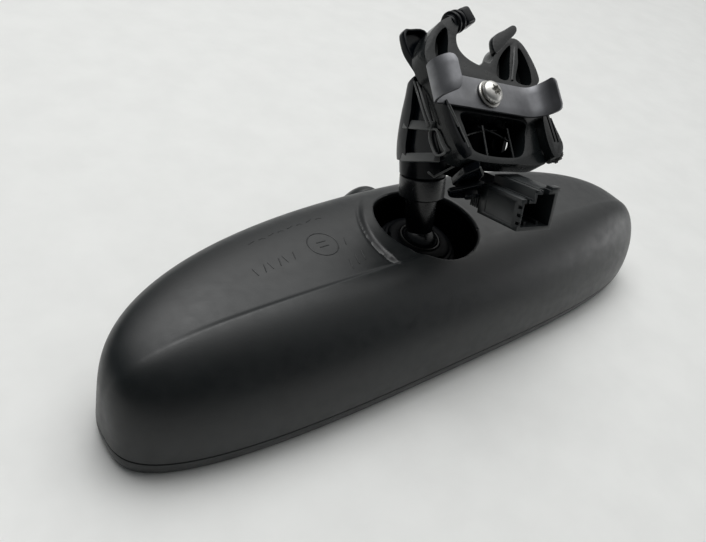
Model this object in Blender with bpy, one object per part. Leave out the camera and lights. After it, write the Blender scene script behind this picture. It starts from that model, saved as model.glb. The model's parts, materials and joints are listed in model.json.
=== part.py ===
"""Interior rearview mirror: a glass and housing on a ball joint, with its windscreen foot.

Frame: X along the mirror, -Y to the edge that is uppermost in the car, +Z from the glass to
the foot. The origin is the middle of the glass front. Lengths below are in millimetres, and
every mesh is scaled to metres as it is made.
"""

import math

import bmesh
import bpy
from mathutils import Euler, Matrix, Vector

MM = 0.001
GAP = 0.3                      # clearance between pieces that touch or slide

# Housing outline: the ridge line parts a narrow near flank from a wide far flank.
HALF_LENGTH = 125.0
RIDGE_Y = -11.4
NEAR_WIDTH = 25.6
FAR_WIDTH = 48.4
NEAR_PLAN = 3.3                # superellipse exponents of the outline
FAR_PLAN = 2.05
NEAR_SECTION = 1.8             # and of the cross-section
FAR_SECTION = 4.7
END_POWER = 5.1                # how late the height drops towards the two ends
RIM_Z = 5.9                    # parting line between rear cover and bezel
COVER_HEIGHT = 33.3            # above the parting line
WALL = 2.2
SIDE_STEPS = 12                # around the cross-section, each side of the ridge
END_STEPS = 12                 # along the length, from the middle to one end

# Glass, bezel and what is behind the glass
BEZEL_FRONT_Z = -1.0
BEZEL_TAPER = 1.6
BEZEL_LIP = 4.6
TONGUE = (3.6, 4.6)            # the bezel's edge inside the cover, measured in from the outline
POCKET_INSET = 3.2
GLASS_INSET = 3.6
GLASS_THICKNESS = 1.1
FOAM_THICKNESS = 0.8
PLATE_THICKNESS = 1.6
BOARD_Z = 8.0
BOARD_THICKNESS = 1.6
BOARD_X = (-62.0, -24.0)
BOARD_Y = (-20.0, 20.0)
SENSOR_AT = (-43.0, 15.0)      # under the board, looking out through the glass

# Ball joint, in a round well in the rear cover
BALL = Vector((1.5, 3.5, 29.0))
BALL_RADIUS = 7.0
LINER_WALL = 0.8
WELL_RADIUS = 20.0
WELL_WALL = 2.0
WELL_FLOOR = (18.0, 20.0)
SEAT_RADIUS = 10.6
RING_RADIUS = 16.0
SCREW_CIRCLE = 13.3
NECK_RADIUS = 5.8
SLEEVE_RADIUS = 8.4
SLEEVE_TOP_RADIUS = 6.9        # inside the foot's collar
SLEEVE = (18.0, 36.0)          # along the stem, from the ball's centre

# Foot: the stem leans back from the glass normal, and the mount plane and the connector each
# have their own pose
ARM_TILT = -20.5
MOUNT_ORIGIN = Vector((6.8, 3.75, 89.6))
MOUNT_POSE = (32.0, 9.0, -9.2)
STRIP_WIDTH = 11.0
STRIP_THICKNESS = 0.9
FOOT_MIDDLE = 3.5
CONNECTOR_ORIGIN = (-0.5, -16.0, 58.1)
CONNECTOR_POSE = (-20.5, 1.9, -12.1)
CONNECTOR_SIZE = (14.5, 19.7, 10.3)
CONNECTOR_WALL = 1.3
LEDGE_WIDTH = 4.6              # the low part of the connector's top
RAISED_HEIGHT = 13.1           # the rest of it
PIN_COUNT = 6

# Control pod, in the middle of the lower edge
POD_CENTRE = (0.0, 34.0, 9.0)
POD_RADII = (13.0, 11.2, 23.0)
BUTTON_RADIUS = 3.6
BUTTON_AT = (0.0, 39.2)

PLASTIC = (0.018, 0.019, 0.021)


def clear_scene():
    for old in list(bpy.data.objects):
        bpy.data.objects.remove(old)


def material(name, colour, roughness, metallic=0.0):
    made = bpy.data.materials.new(name)
    made.use_nodes = True
    shader = made.node_tree.nodes["Principled BSDF"]
    shader.inputs["Base Color"].default_value = (*colour, 1)
    shader.inputs["Roughness"].default_value = roughness
    shader.inputs["Metallic"].default_value = metallic
    made.diffuse_color = (*colour, 1)
    return made


def empty(name, origin, pose):
    made = bpy.data.objects.new(name, None)
    made.location = Vector(origin) * MM
    made.rotation_euler = Euler([math.radians(turn) for turn in pose])
    bpy.context.collection.objects.link(made)
    return made


def place(name, shape, finish, frame, smooth=35):
    """The object of a bmesh in millimetres, in the coordinates of an empty.

    Faces stay flat where smooth is 0, which also keeps the edges of a cut crisp.
    """
    bmesh.ops.recalc_face_normals(shape, faces=shape.faces)
    bmesh.ops.scale(shape, vec=(MM, MM, MM), verts=shape.verts)
    mesh = bpy.data.meshes.new(name)
    shape.to_mesh(mesh)
    shape.free()
    mesh.materials.append(finish)
    if smooth:
        mesh.shade_smooth()
        mesh.set_sharp_from_angle(angle=math.radians(smooth))
    made = bpy.data.objects.new(name, mesh)
    made.parent = frame
    bpy.context.collection.objects.link(made)
    return made


def tool(name, shape, frame):
    """A helper solid for a Boolean, which is no part of the object."""
    made = place(name, shape, FINISH["tool"], frame, smooth=0)
    made.hide_render = True
    made.display_type = "WIRE"
    return made


def combine(target, other, operation):
    step = target.modifiers.new(other.name, "BOOLEAN")
    step.operation = operation
    step.object = other
    return target


def cut(target, other):
    return combine(target, other, "DIFFERENCE")


def add(target, other):
    return combine(target, other, "UNION")


def soften(target, width, segments=1, angle=40):
    step = target.modifiers.new("edges", "BEVEL")
    step.width = width * MM
    step.segments = segments
    step.limit_method = "ANGLE"
    step.angle_limit = math.radians(angle)
    step.use_clamp_overlap = True
    return target


# ---- Shapes -----------------------------------------------------------------------------


def prism(outline, low, high):
    """A closed outline in X and Y, extruded along Z."""
    shape = bmesh.new()
    base = shape.faces.new([shape.verts.new((x, y, low)) for x, y in outline])
    made = bmesh.ops.extrude_face_region(shape, geom=[base])
    top = [item for item in made["geom"] if isinstance(item, bmesh.types.BMVert)]
    bmesh.ops.translate(shape, vec=(0, 0, high - low), verts=top)
    return shape


def side_prism(outline, low, high):
    """A closed outline in Y and Z, extruded along X."""
    shape = prism(outline, low, high)
    turn = Matrix(((0, 0, 1), (1, 0, 0), (0, 1, 0)))
    bmesh.ops.transform(shape, matrix=turn.to_4x4(), verts=shape.verts)
    return shape


def front_prism(outline, low, high):
    """A closed outline in X and Z, extruded along Y."""
    shape = prism(outline, low, high)
    turn = Matrix(((1, 0, 0), (0, 0, 1), (0, 1, 0)))
    bmesh.ops.transform(shape, matrix=turn.to_4x4(), verts=shape.verts)
    return shape


def box(x_span, y_span, z_span):
    (left, right), (near, far) = x_span, y_span
    return prism([(left, near), (right, near), (right, far), (left, far)], *z_span)


def lathe(profile, steps, centre=(0, 0, 0)):
    """A closed profile of (radius, height) points turned about a line along Z."""
    shape = bmesh.new()
    rings = []
    turns = [2 * math.pi * i / steps for i in range(steps)]
    x, y, z = centre
    for radius, height in profile:
        if radius == 0:
            rings.append([shape.verts.new((x, y, z + height))] * steps)
            continue
        points = [(x + radius * math.cos(t), y + radius * math.sin(t), z + height) for t in turns]
        rings.append([shape.verts.new(point) for point in points])
    for first, second in zip(rings, rings[1:] + rings[:1]):
        for i in range(steps):
            corners = [first[i - 1], first[i], second[i], second[i - 1]]
            unique = list(dict.fromkeys(corners))
            if len(unique) > 2:
                shape.faces.new(unique)
    return shape


def rod(radius, low, high, steps, centre=(0, 0)):
    return lathe([(0, low), (radius, low), (radius, high), (0, high)], steps, (*centre, 0))


def arc(radius, start, end, steps, middle=(0, 0)):
    """Points of a circular arc, from one angle in degrees to another."""
    turns = [math.radians(start + (end - start) * i / steps) for i in range(steps + 1)]
    return [(middle[0] + radius * math.cos(t), middle[1] + radius * math.sin(t)) for t in turns]


def curve_through(points, steps, closed=False):
    """A smooth Catmull-Rom line through points of any dimension."""
    points = [Vector(p) for p in points]
    count = len(points)
    made = []
    for i in range(count if closed else count - 1):
        if closed:
            a, b, c, d = (points[(i + k) % count] for k in (-1, 0, 1, 2))
        else:
            a, b, c, d = (points[min(max(i + k, 0), count - 1)] for k in (-1, 0, 1, 2))
        bend = 2 * a - 5 * b + 4 * c - d
        twist = 3 * b - a - 3 * c + d
        for step in range(steps):
            t = step / steps
            made.append(0.5 * (2 * b + (c - a) * t + bend * t**2 + twist * t**3))
    if not closed:
        made.append(points[-1])
    return [tuple(p) for p in made]


def ribbon(line, thickness):
    """The outline of a strip of one thickness whose middle runs along a line in the plane."""
    left, right = [], []
    for i, point in enumerate(line):
        ahead = Vector(line[min(i + 1, len(line) - 1)]) - Vector(line[max(i - 1, 0)])
        normal = Vector((-ahead.y, ahead.x)).normalized() * thickness / 2
        left.append(tuple(Vector(point) + normal))
        right.append(tuple(Vector(point) - normal))
    return left + right[::-1]


def lens_power(turn, power):
    """Signed cosine and sine of a superellipse, from an angle in radians."""
    def bent(value):
        return math.copysign(abs(value) ** (2 / power), value)
    return bent(math.cos(turn)), bent(math.sin(turn))


def housing_outline(inset=0.0, steps=13):
    """The housing's outline in X and Y, moved inwards by an inset."""
    outline = []
    for start, width, power in ((0, FAR_WIDTH, FAR_PLAN), (math.pi, NEAR_WIDTH, NEAR_PLAN)):
        for i in range(2 * steps):
            x, y = lens_power(start + math.pi * i / (2 * steps), power)
            outline.append(Vector((HALF_LENGTH * x, RIDGE_Y + width * y)))
    moved = []
    for i, point in enumerate(outline):
        ahead = outline[(i + 1) % len(outline)] - outline[i - 1]
        inwards = Vector((-ahead.y, ahead.x)).normalized()
        moved.append(tuple(point + inset * inwards))
    return moved


def fall(ratio, power):
    return max(0.0, 1 - abs(ratio) ** power) ** (1 / power)


def cover_section(x, inset, height):
    """Points over the ridge at one place along X, from the near rim to the far rim."""
    length = HALF_LENGTH - inset
    lift = height * fall(x / length, END_POWER)
    near = (NEAR_WIDTH - inset) * fall(x / length, NEAR_PLAN)
    far = (FAR_WIDTH - inset) * fall(x / length, FAR_PLAN)
    points = []
    for i in range(2 * SIDE_STEPS + 1):
        turn = math.pi * i / (2 * SIDE_STEPS)
        is_near = i <= SIDE_STEPS
        across, up = lens_power(turn, NEAR_SECTION if is_near else FAR_SECTION)
        points.append((x, RIDGE_Y - (near if is_near else far) * across, lift * abs(up)))
    return points


def cover_dome(inset, height, low):
    """The closed form of the rear cover, with straight sides from the rim down to low."""
    shape = bmesh.new()
    length = HALF_LENGTH - inset
    stations = []
    for i in range(1, 2 * END_STEPS):
        along, _ = lens_power(math.pi * (1 - i / (2 * END_STEPS)), END_POWER)
        stations.append(length * along)
    arches = []
    for station in stations:
        section = cover_section(station, inset, height)
        arches.append([shape.verts.new((x, y, RIM_Z + z)) for x, y, z in section])
    tips = [shape.verts.new((end * length, RIDGE_Y, RIM_Z)) for end in (-1, 1)]
    for first, second in zip(arches, arches[1:]):
        for i in range(len(first) - 1):
            shape.faces.new((first[i], first[i + 1], second[i + 1], second[i]))
    for tip, arch in zip(tips, (arches[0], arches[-1])):
        for i in range(len(arch) - 1):
            shape.faces.new((arch[i], arch[i + 1], tip))
    rim = [arch[0] for arch in arches] + [tips[1]] + [arch[-1] for arch in arches[::-1]] + [tips[0]]
    if low < RIM_Z:
        foot = [shape.verts.new((v.co.x, v.co.y, low)) for v in rim]
        for i in range(len(rim)):
            shape.faces.new((rim[i - 1], rim[i], foot[i], foot[i - 1]))
        rim = foot
    shape.faces.new(rim)
    return shape


# ---- Mirror head ------------------------------------------------------------------------


def make_rear_cover(head):
    cover = place("rear_cover", cover_dome(0, COVER_HEIGHT, RIM_Z), FINISH["housing"], head, 30)
    cut(cover, tool("cover_inside", cover_dome(WALL, COVER_HEIGHT - WALL, RIM_Z - 3), head))
    well = tool("well_wall", rod(WELL_RADIUS + WELL_WALL, WELL_FLOOR[0], 60, 48, BALL.xy), head)
    combine(well, tool("cover_limit", cover_dome(0.4, COVER_HEIGHT - 0.4, RIM_Z), head), "INTERSECT")
    add(cover, well)
    cut(cover, tool("well_space", rod(WELL_RADIUS, WELL_FLOOR[1], 60, 48, BALL.xy), head))
    cut(cover, tool("well_hole", rod(SEAT_RADIUS + GAP, 10, 30, 32, BALL.xy), head))
    for i, (x, y) in enumerate(screw_places()):
        cut(cover, tool(f"floor_hole_{i}", rod(1.6, 10, 30, 12, (x, y)), head))
    pod = tool("pod_notch", pod_form(GAP, -4), head)
    return cut(cover, pod)


def screw_places():
    return [
        (BALL.x + SCREW_CIRCLE * math.cos(t), BALL.y + SCREW_CIRCLE * math.sin(t))
        for t in (math.radians(30 + 120 * i) for i in range(3))
    ]


def pod_form(grow, low):
    """The pod's outer form, cut off flat below."""
    shape = bmesh.new()
    bmesh.ops.create_uvsphere(shape, u_segments=24, v_segments=16, radius=1)
    scale = [radius + grow for radius in POD_RADII]
    bmesh.ops.scale(shape, vec=scale, verts=shape.verts)
    bmesh.ops.translate(shape, vec=POD_CENTRE, verts=shape.verts)
    cut_plane = bmesh.ops.bisect_plane(
        shape, geom=shape.verts[:] + shape.edges[:] + shape.faces[:],
        plane_co=(0, 0, low), plane_no=(0, 0, -1), clear_outer=True,
    )
    edges = [item for item in cut_plane["geom_cut"] if isinstance(item, bmesh.types.BMEdge)]
    bmesh.ops.edgeloop_fill(shape, edges=edges)
    return shape


def skinned(levels, closed=False):
    """The housing's outline at several insets and heights, skinned from one to the next."""
    shape = bmesh.new()
    loops = [[shape.verts.new((x, y, z)) for x, y in housing_outline(inset)] for inset, z in levels]
    for first, second in zip(loops, loops[1:] + loops[:1] if closed else loops[1:]):
        for i in range(len(first)):
            shape.faces.new((first[i - 1], first[i], second[i], second[i - 1]))
    if not closed:
        shape.faces.new(loops[0])
        shape.faces.new(loops[-1])
    return shape


def make_bezel(head):
    levels = [
        (BEZEL_TAPER, BEZEL_FRONT_Z), (0.5, 1.2), (0.0, 3.6), (0.0, RIM_Z - GAP),
        (TONGUE[0], RIM_Z - GAP), (TONGUE[0], RIM_Z + 2.6), (TONGUE[1], RIM_Z + 2.6),
        (TONGUE[1], RIM_Z - 1.4), (POCKET_INSET, RIM_Z - 1.4), (POCKET_INSET, -GAP), (BEZEL_LIP, -GAP),
        (BEZEL_LIP, -0.6), (BEZEL_LIP - 0.8, BEZEL_FRONT_Z),
    ]
    bezel = place("bezel", skinned(levels, closed=True), FINISH["bezel"], head)
    return cut(bezel, tool("bezel_pod_notch", pod_form(GAP, -4), head))


def make_glass(head):
    """The dimming cell's two panes. The front one's ground edge is under the bezel's lip."""
    levels = [(BEZEL_LIP + GAP, 0.0), (GLASS_INSET, 0.35), (GLASS_INSET, GLASS_THICKNESS)]
    front = place("front_glass", skinned(levels), FINISH["glass"], head, 10)
    low = GLASS_THICKNESS + GAP
    outline = [(x, y * 0.96 - 0.4) for x, y in housing_outline(GLASS_INSET + 1.0)]
    back = place("rear_glass", prism(outline, low, low + GLASS_THICKNESS), FINISH["mirror"], head)
    return front, back


def stack_z():
    """Heights of the foam's underside, the carrier plate's underside and its top."""
    foam = 2 * (GLASS_THICKNESS + GAP)
    plate = foam + FOAM_THICKNESS + GAP
    return foam, plate, plate + PLATE_THICKNESS


def make_backing(head):
    foam_z, plate_z, plate_top = stack_z()
    sheet = prism(housing_outline(12), foam_z, foam_z + FOAM_THICKNESS)
    foam = place("foam_pad", sheet, FINISH["foam"], head)
    plate = place("carrier_plate", prism(housing_outline(6), plate_z, plate_top), FINISH["plate"], head)
    for i, x in enumerate(BOARD_X):
        for j, y in enumerate(BOARD_Y):
            inwards = 4 if i == 0 else -4
            post = rod(2.4, plate_z + 0.5, BOARD_Z - GAP, 12, (x + inwards, y + (4 if j == 0 else -4)))
            add(plate, tool(f"post_{i}{j}", post, head))
    for i, x in enumerate((-90, 30, 75)):
        window = box((x - 14, x + 14), (-16, 18), (plate_z - 1, plate_top + 1))
        cut(plate, tool(f"plate_window_{i}", window, head))
    cut(plate, tool("plate_sensor_hole", rod(4.2, plate_z - 1, plate_top + 1, 16, SENSOR_AT), head))
    cut(foam, tool("foam_sensor_hole", rod(4.2, foam_z - 1, foam_z + 2, 16, SENSOR_AT), head))
    return foam, plate


def make_cell_clips(head):
    """The two spring contacts on the long edges of the dimming cell."""
    z = 2 * (GLASS_THICKNESS + GAP)
    places = (("cell_clip_upper", -28.0, (-40, 40)), ("cell_clip_lower", 27.4, (-34, -16)))
    for name, y, x_span in places:
        place(name, box(x_span, (y, y + 1.8), (z, z + 0.5)), FINISH["contact"], head)


def make_electronics(head):
    top = BOARD_Z + BOARD_THICKNESS
    board = place("circuit_board", box(BOARD_X, BOARD_Y, (BOARD_Z, top)), FINISH["board"], head)
    corners = ((BOARD_X[0] + 4, BOARD_Y[0] + 4), (BOARD_X[1] - 4, BOARD_Y[1] - 4))
    for i, corner in enumerate(corners):
        cut(board, tool(f"board_hole_{i}", rod(1.4, BOARD_Z - 1, top + 1, 12, corner), head))
        pilot = tool(f"post_pilot_{i}", rod(1.35, BOARD_Z - 4, top + 1, 12, corner), head)
        cut(bpy.data.objects["carrier_plate"], pilot)
        profile = [(0, BOARD_Z - 3), (1.0, BOARD_Z - 3), (1.0, top + GAP), (2.2, top + GAP)]
        profile += [(2.2, top + 1.5), (0, top + 1.9)]
        place(f"board_screw_{i + 1}", lathe(profile, 12, (*corner, 0)), FINISH["steel"], head)
    block = box((-34, -28), (-12, 2), (top + GAP, top + 5))
    header = place("board_header", block, FINISH["connector"], head)
    cut(header, tool("header_space", box((-30, -20), (-10.8, 0.8), (top + 1.5, top + 4)), head))
    sensor_top = BOARD_Z - GAP
    place("glare_sensor", rod(2.6, 4.0, sensor_top, 16, SENSOR_AT), FINISH["lens"], head)
    place("ambient_sensor", rod(2.0, top + GAP, top + 3.2, 16, (SENSOR_AT[0], 4)), FINISH["lens"], head)


def make_pod(head):
    pod = place("control_pod", pod_form(0, BEZEL_FRONT_Z + 0.2), FINISH["housing"], head)
    inside = tool("pod_cover_limit", cover_dome(-GAP, COVER_HEIGHT + GAP, -6), head)
    cut(pod, inside)
    x, y = BUTTON_AT
    cut(pod, tool("button_bore", rod(BUTTON_RADIUS + GAP, -4, 9, 24, (x, y)), head))
    cut(pod, tool("led_bore", rod(1.0, -4, 6, 10, (x + 6.6, y - 0.6)), head))
    block = box((x - 2.6, x + 2.6), (y - 2.6, y + 2.6), (4.6, 7.6))
    switch = place("button_switch", block, FINISH["switch"], head)
    soften(switch, 0.3)
    front = [(BUTTON_RADIUS, 2.9), (BUTTON_RADIUS, 0.0), (BUTTON_RADIUS - 0.5, -0.5), (0, -0.7)]
    button = [(0, 3.4), (1.1, 3.4), (1.1, 2.9)] + front
    place("push_button", lathe(button, 24, (x, y, 0)), FINISH["button"], head)
    place("indicator_light", rod(0.7, -0.6, 4.0, 10, (x + 6.6, y - 0.6)), FINISH["lens"], head)
    return pod


def make_socket(head):
    inner = BALL_RADIUS + GAP + LINER_WALL + GAP
    x, y, z = BALL
    seat = [(4.5, -10.4), (SEAT_RADIUS, -10.4), (SEAT_RADIUS, 0), (inner, 0)]
    low_turn = -math.degrees(math.acos(4.5 / inner))
    seat += arc(inner, low_turn / 8, low_turn, 7)
    place("ball_seat", lathe(seat, 32, BALL), FINISH["seat"], head)
    washer = [(6.0, 17.75), (6.0, 17.25), (10.0, 16.9), (10.0, 17.4)]
    place("spring_ring", lathe(washer, 32, (x, y, 0)), FINISH["steel"], head)
    disc = lathe([(4.5, 15.0), (17.0, 15.0), (17.0, 16.6), (4.5, 16.6)], 32, (x, y, 0))
    plate = place("socket_plate", disc, FINISH["steel"], head)
    ring_low = WELL_FLOOR[1] - z + GAP
    outside = [(SEAT_RADIUS + GAP, ring_low), (RING_RADIUS, ring_low), (RING_RADIUS, -4.0)]
    outside += [(RING_RADIUS - 1.2, -4.0), (RING_RADIUS - 1.2, -1.0), (RING_RADIUS - 2.6, -1.0)]
    outside += [(RING_RADIUS - 2.6, 0.8), (11.6, 2.2), (9.6, 2.6)]
    inside = arc(inner, 16, 4, 3) + [(SEAT_RADIUS + GAP, GAP)]
    ring = place("retaining_ring", lathe(outside + inside, 28, BALL), FINISH["socket"], head)
    for i, centre in enumerate(screw_places()):
        cut(plate, tool(f"plate_hole_{i}", rod(1.6, 14, 18, 12, centre), head))
        cut(ring, tool(f"ring_hole_{i}", rod(1.5, 19, 27.4, 12, centre), head))
        profile = [(0, 13.1), (2.3, 13.3), (2.3, 14.7), (1.15, 14.7), (1.15, 26.6), (0, 27.0)]
        place(f"socket_screw_{i + 1}", lathe(profile, 12, (*centre, 0)), FINISH["steel"], head)
    return ring


def make_liner(joint):
    inside = BALL_RADIUS + GAP
    profile = arc(inside + LINER_WALL, -52, 18, 6) + arc(inside, 18, -52, 6)
    return place("ball_liner", lathe(profile, 24), FINISH["liner"], joint)


# ---- Foot -------------------------------------------------------------------------------


def make_stud(arm):
    """Ball and neck in one piece, bored through for the wires."""
    waist = 4.2
    bore = 2.4
    start = -math.degrees(math.acos(bore / BALL_RADIUS))
    end = math.degrees(math.acos(waist / BALL_RADIUS))
    profile = arc(BALL_RADIUS, start, end, 10)
    profile += [(waist, 8.0), (NECK_RADIUS - 0.8, 11.5), (NECK_RADIUS, SLEEVE[0] - 1)]
    profile += [(NECK_RADIUS, SLEEVE[1] - 1), (bore, SLEEVE[1] - 1)]
    return place("ball_stud", lathe(profile, 24), FINISH["stud"], arm)


def make_sleeve(arm):
    inner = NECK_RADIUS + GAP
    low, high = SLEEVE
    step = COLLAR[0][1] - GAP
    outside = [(SLEEVE_RADIUS - 0.5, low), (SLEEVE_RADIUS, low + 0.6), (SLEEVE_RADIUS, step)]
    outside += [(SLEEVE_TOP_RADIUS, step), (SLEEVE_TOP_RADIUS, high)]
    tube = lathe([(inner, low)] + outside + [(inner, high)], 28)
    return place("stem_sleeve", tube, FINISH["stud"], arm)


SHELL_LEVELS = [
    # height along the mount plane, half width, depth behind the front edge
    (-25.0, 24.0, 29.0), (-12.0, 24.3, 29.2), (-5.0, 24.3, 26.8), (2.0, 24.0, 21.5),
    (8.0, 23.5, 15.5), (16.0, 22.6, 9.0), (24.5, 21.6, 6.0),
]
SHELL_FRONT = -8.2
CARRIER_FRONT = -7.9
CARRIER_WALL = 2.0
SHELL_WALL = 1.6
SHELL_POWER = 3.0
UNDERSIDE = ((-23.0, 0.0), (-7.0, -38.0))
CARRIER_TOP = 14.0
SHELL_TOP = 10.0
SIDE_TAB = [
    (-22.3, 17.5), (-19.0, 11.0), (-17.5, 9.5), (-11.5, 9.5), (-11.5, 25.6), (-19.6, 26.0), (-21.6, 25.0),
    (-22.5, 22.5),
]
TAB_Z = (-10.4, -8.2)
COLLAR = [(0, 26.5), (8.6, 26.5), (8.8, 30.0), (9.0, 34.0), (0, 34.0)]


def shell_form(grow, front):
    """The rounded wedge behind the mount plane, from its levels."""
    shape = bmesh.new()
    rings = []
    for height, half_width, depth in SHELL_LEVELS:
        across = [lens_power(math.pi * i / 16, SHELL_POWER) for i in range(17)]
        wide, deep = half_width + grow, depth + grow
        back = [(FOOT_MIDDLE + wide * x, SHELL_FRONT - deep * y) for x, y in across]
        ends = [(back[-1][0], front), (back[0][0], front)]
        rings.append([shape.verts.new((x, height, z)) for x, z in back + ends])
    for first, second in zip(rings, rings[1:]):
        for i in range(len(first)):
            shape.faces.new((first[i - 1], first[i], second[i], second[i - 1]))
    shape.faces.new(rings[0])
    shape.faces.new(rings[-1][::-1])
    return shape


def beyond(corners, name, mount):
    """A cutter as wide as the foot, from an outline in the foot's Y and Z."""
    return tool(name, side_prism(corners, -40, 50), mount)


def below_underside(name, lift, mount):
    """Everything below the underside, or below a plane parallel to it inside the foot."""
    (y_front, z_front), (y_back, z_back) = UNDERSIDE
    slope = (y_back - y_front) / (z_back - z_front)
    near, far = 20.0, -70.0
    edge = [(y_front + slope * z + lift, z) for z in (near, far)]
    return beyond([(-70.0, near), (-70.0, far), edge[1], edge[0]], name, mount)


def above(name, height, mount):
    return beyond([(height, 20.0), (height, -70.0), (70.0, -70.0), (70.0, 20.0)], name, mount)


def make_rear_shell(mount, arm):
    """The thin skin behind the carrier, notched for the stem's collar."""
    shell = place("rear_shell", shell_form(0, SHELL_FRONT), FINISH["shell"], mount, 40)
    cut(shell, tool("shell_inside", shell_form(-SHELL_WALL, SHELL_FRONT + 8), mount))
    front = [(-34.0, 6.0), (-34.0, -31.0), (-10.0, -21.0), (0.0, -14.5), (10.0, -10.5), (14.0, 6.0)]
    cut(shell, beyond(front, "shell_front", mount))
    cut(shell, above("above_shell", SHELL_TOP, mount))
    cut(shell, below_underside("below_shell", 0.0, mount))
    return cut(shell, tool("collar_notch", rod(COLLAR[-2][0] + GAP, 18, 36, 28), arm))


def make_carrier(mount, arm, plug):
    """The moulding that ties stem, shell, bracket and connector together."""
    outer = -SHELL_WALL - GAP
    carrier = place("foot_carrier", shell_form(outer, CARRIER_FRONT), FINISH["foot"], mount, 30)
    space = tool("carrier_space", shell_form(outer - CARRIER_WALL, CARRIER_FRONT + 9), mount)
    cut(space, below_underside("below_space", CARRIER_WALL, mount))
    cut(carrier, space)
    cut(carrier, below_underside("below_carrier", GAP, mount))
    cut(carrier, above("above_carrier", CARRIER_TOP, mount))
    add(carrier, tool("side_tab", prism(SIDE_TAB, *TAB_Z), mount))
    add(carrier, tool("collar", lathe(COLLAR, 24), arm))
    add(carrier, tool("connector_arm", box((2.0, 12.5), (GAP, 24.0), (6.8, 10.0)), plug))
    ahead = [(-23.5, 20.0), (-23.5, CARRIER_FRONT), (40.0, CARRIER_FRONT), (40.0, 20.0)]
    cut(carrier, beyond(ahead, "bracket_room", mount))
    cut(carrier, tool("stem_bore", rod(SLEEVE_TOP_RADIUS + 2 * GAP, 20, 42, 28), arm))
    hole = side_prism(arc(3.2, 0, 337.5, 15, (-6.5, -18.0)), FOOT_MIDDLE + 16, FOOT_MIDDLE + 28)
    return cut(carrier, tool("side_hole", hole, mount))


BRACKET_Z = (-7.6, -1.2)
BRACKET_OUTLINE = [
    (-14.5, -22.5), (-17.0, -14.0), (-18.6, -5.0), (-19.2, 3.0), (-21.5, 6.5), (-22.4, 12.0),
    (-18.5, 19.5), (-12.5, 25.6), (-6.0, 29.4), (-1.0, 31.5), (2.0, 32.6), (5.4, 30.4),
    (3.2, 26.4), (-1.0, 24.6), (-4.0, 23.0), (-5.8, 19.0), (-2.8, 14.5), (2.2, 12.6),
    (7.0, 14.0), (10.2, 18.5), (13.0, 23.5), (15.5, 28.0), (19.5, 31.0), (24.5, 31.6),
    (25.8, 29.2), (24.4, 25.6), (28.6, 20.0), (30.2, 13.5), (30.0, 6.5), (27.6, 0.0),
    (26.4, -8.0), (26.0, -16.0), (23.0, -21.5), (10.0, -22.6), (-2.0, -23.2),
]
BRACKET_OPENING = [
    (-12.0, -6.6), (-12.4, -14.0), (-11.6, -19.4), (-2.0, -20.6), (9.0, -19.8), (14.0, -16.5),
    (16.6, -11.0), (17.4, -6.6),
]
LEFT_RECESS = [(-17.5, 11.0), (-14.5, 18.0), (-9.5, 23.5), (-7.5, 21.5), (-10.0, 16.0), (-11.0, 11.0)]
RIGHT_RECESS = [(17.0, 9.0), (16.5, 17.0), (18.5, 25.0), (22.0, 25.0), (26.0, 18.0), (27.0, 9.0)]


def make_bracket(mount):
    """The clawed frame that grips the windscreen plate."""
    low, high = BRACKET_Z
    outline = curve_through(BRACKET_OUTLINE, 2, closed=True)
    bracket = place("mount_bracket", prism(outline, low, high), FINISH["bracket"], mount, 30)
    cut(bracket, tool("bracket_opening", prism(BRACKET_OPENING, low - 1, high + 1), mount))
    for name, outline in (("left_recess", LEFT_RECESS), ("right_recess", RIGHT_RECESS)):
        pocket = prism(curve_through(outline, 2, closed=True), low + 1.6, high + 1)
        cut(bracket, tool(name, pocket, mount))
    boss = rod(5.0, high - 1, -GAP, 20)
    add(bracket, tool("screw_boss", boss, mount))
    return cut(bracket, tool("screw_bore", rod(2.3, low - 1, 1, 16), mount))


def make_strip(mount):
    """The leaf spring, with one end curled inwards and the other flared outwards."""
    middle = STRIP_THICKNESS / 2
    left = [(-22.4, 10.8), (-24.6, 8.4), (-26.0, 5.2), (-25.6, 2.0), (-23.6, middle)]
    right = [(21.0, middle), (23.6, 1.6), (25.2, 4.4), (26.2, 7.4), (27.2, 10.2)]
    line = curve_through(left + [(-12.0, middle), (10.0, middle)] + right, 3)
    shape = prism(ribbon(line, STRIP_THICKNESS), -STRIP_WIDTH / 2, STRIP_WIDTH / 2)
    bmesh.ops.rotate(shape, matrix=Matrix.Rotation(math.pi / 2, 3, "X"), verts=shape.verts)
    for vert in shape.verts:
        flare = max(0.0, abs(vert.co.x) - 21.0) / 5.0
        vert.co.y *= 1 + 0.11 * min(flare, 1.0)
    strip = place("leaf_spring", shape, FINISH["spring"], mount, 30)
    return cut(strip, tool("strip_hole", rod(2.3, -2, 3, 16), mount))


def make_spring_screw(mount):
    washer_low = STRIP_THICKNESS + GAP
    washer = [(2.3, washer_low), (4.7, washer_low), (4.7, washer_low + 0.8), (2.3, washer_low + 0.8)]
    place("screw_washer", lathe(washer, 24), FINISH["steel"], mount)
    head = washer_low + 0.8 + GAP
    profile = [(0, -6.5), (1.9, -6.5), (1.9, head), (4.0, head), (4.0, head + 1.0)]
    profile += [(3.2, head + 2.2), (0, head + 2.6)]
    screw = place("spring_screw", lathe(profile, 24), FINISH["steel"], mount)
    turns = [math.pi * i / 6 for i in range(12)]
    lobes = [(r * math.cos(t), r * math.sin(t)) for t, r in zip(turns, [2.1, 1.5] * 6)]
    return cut(screw, tool("drive", prism(lobes, head + 0.9, head + 4), mount))


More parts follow.
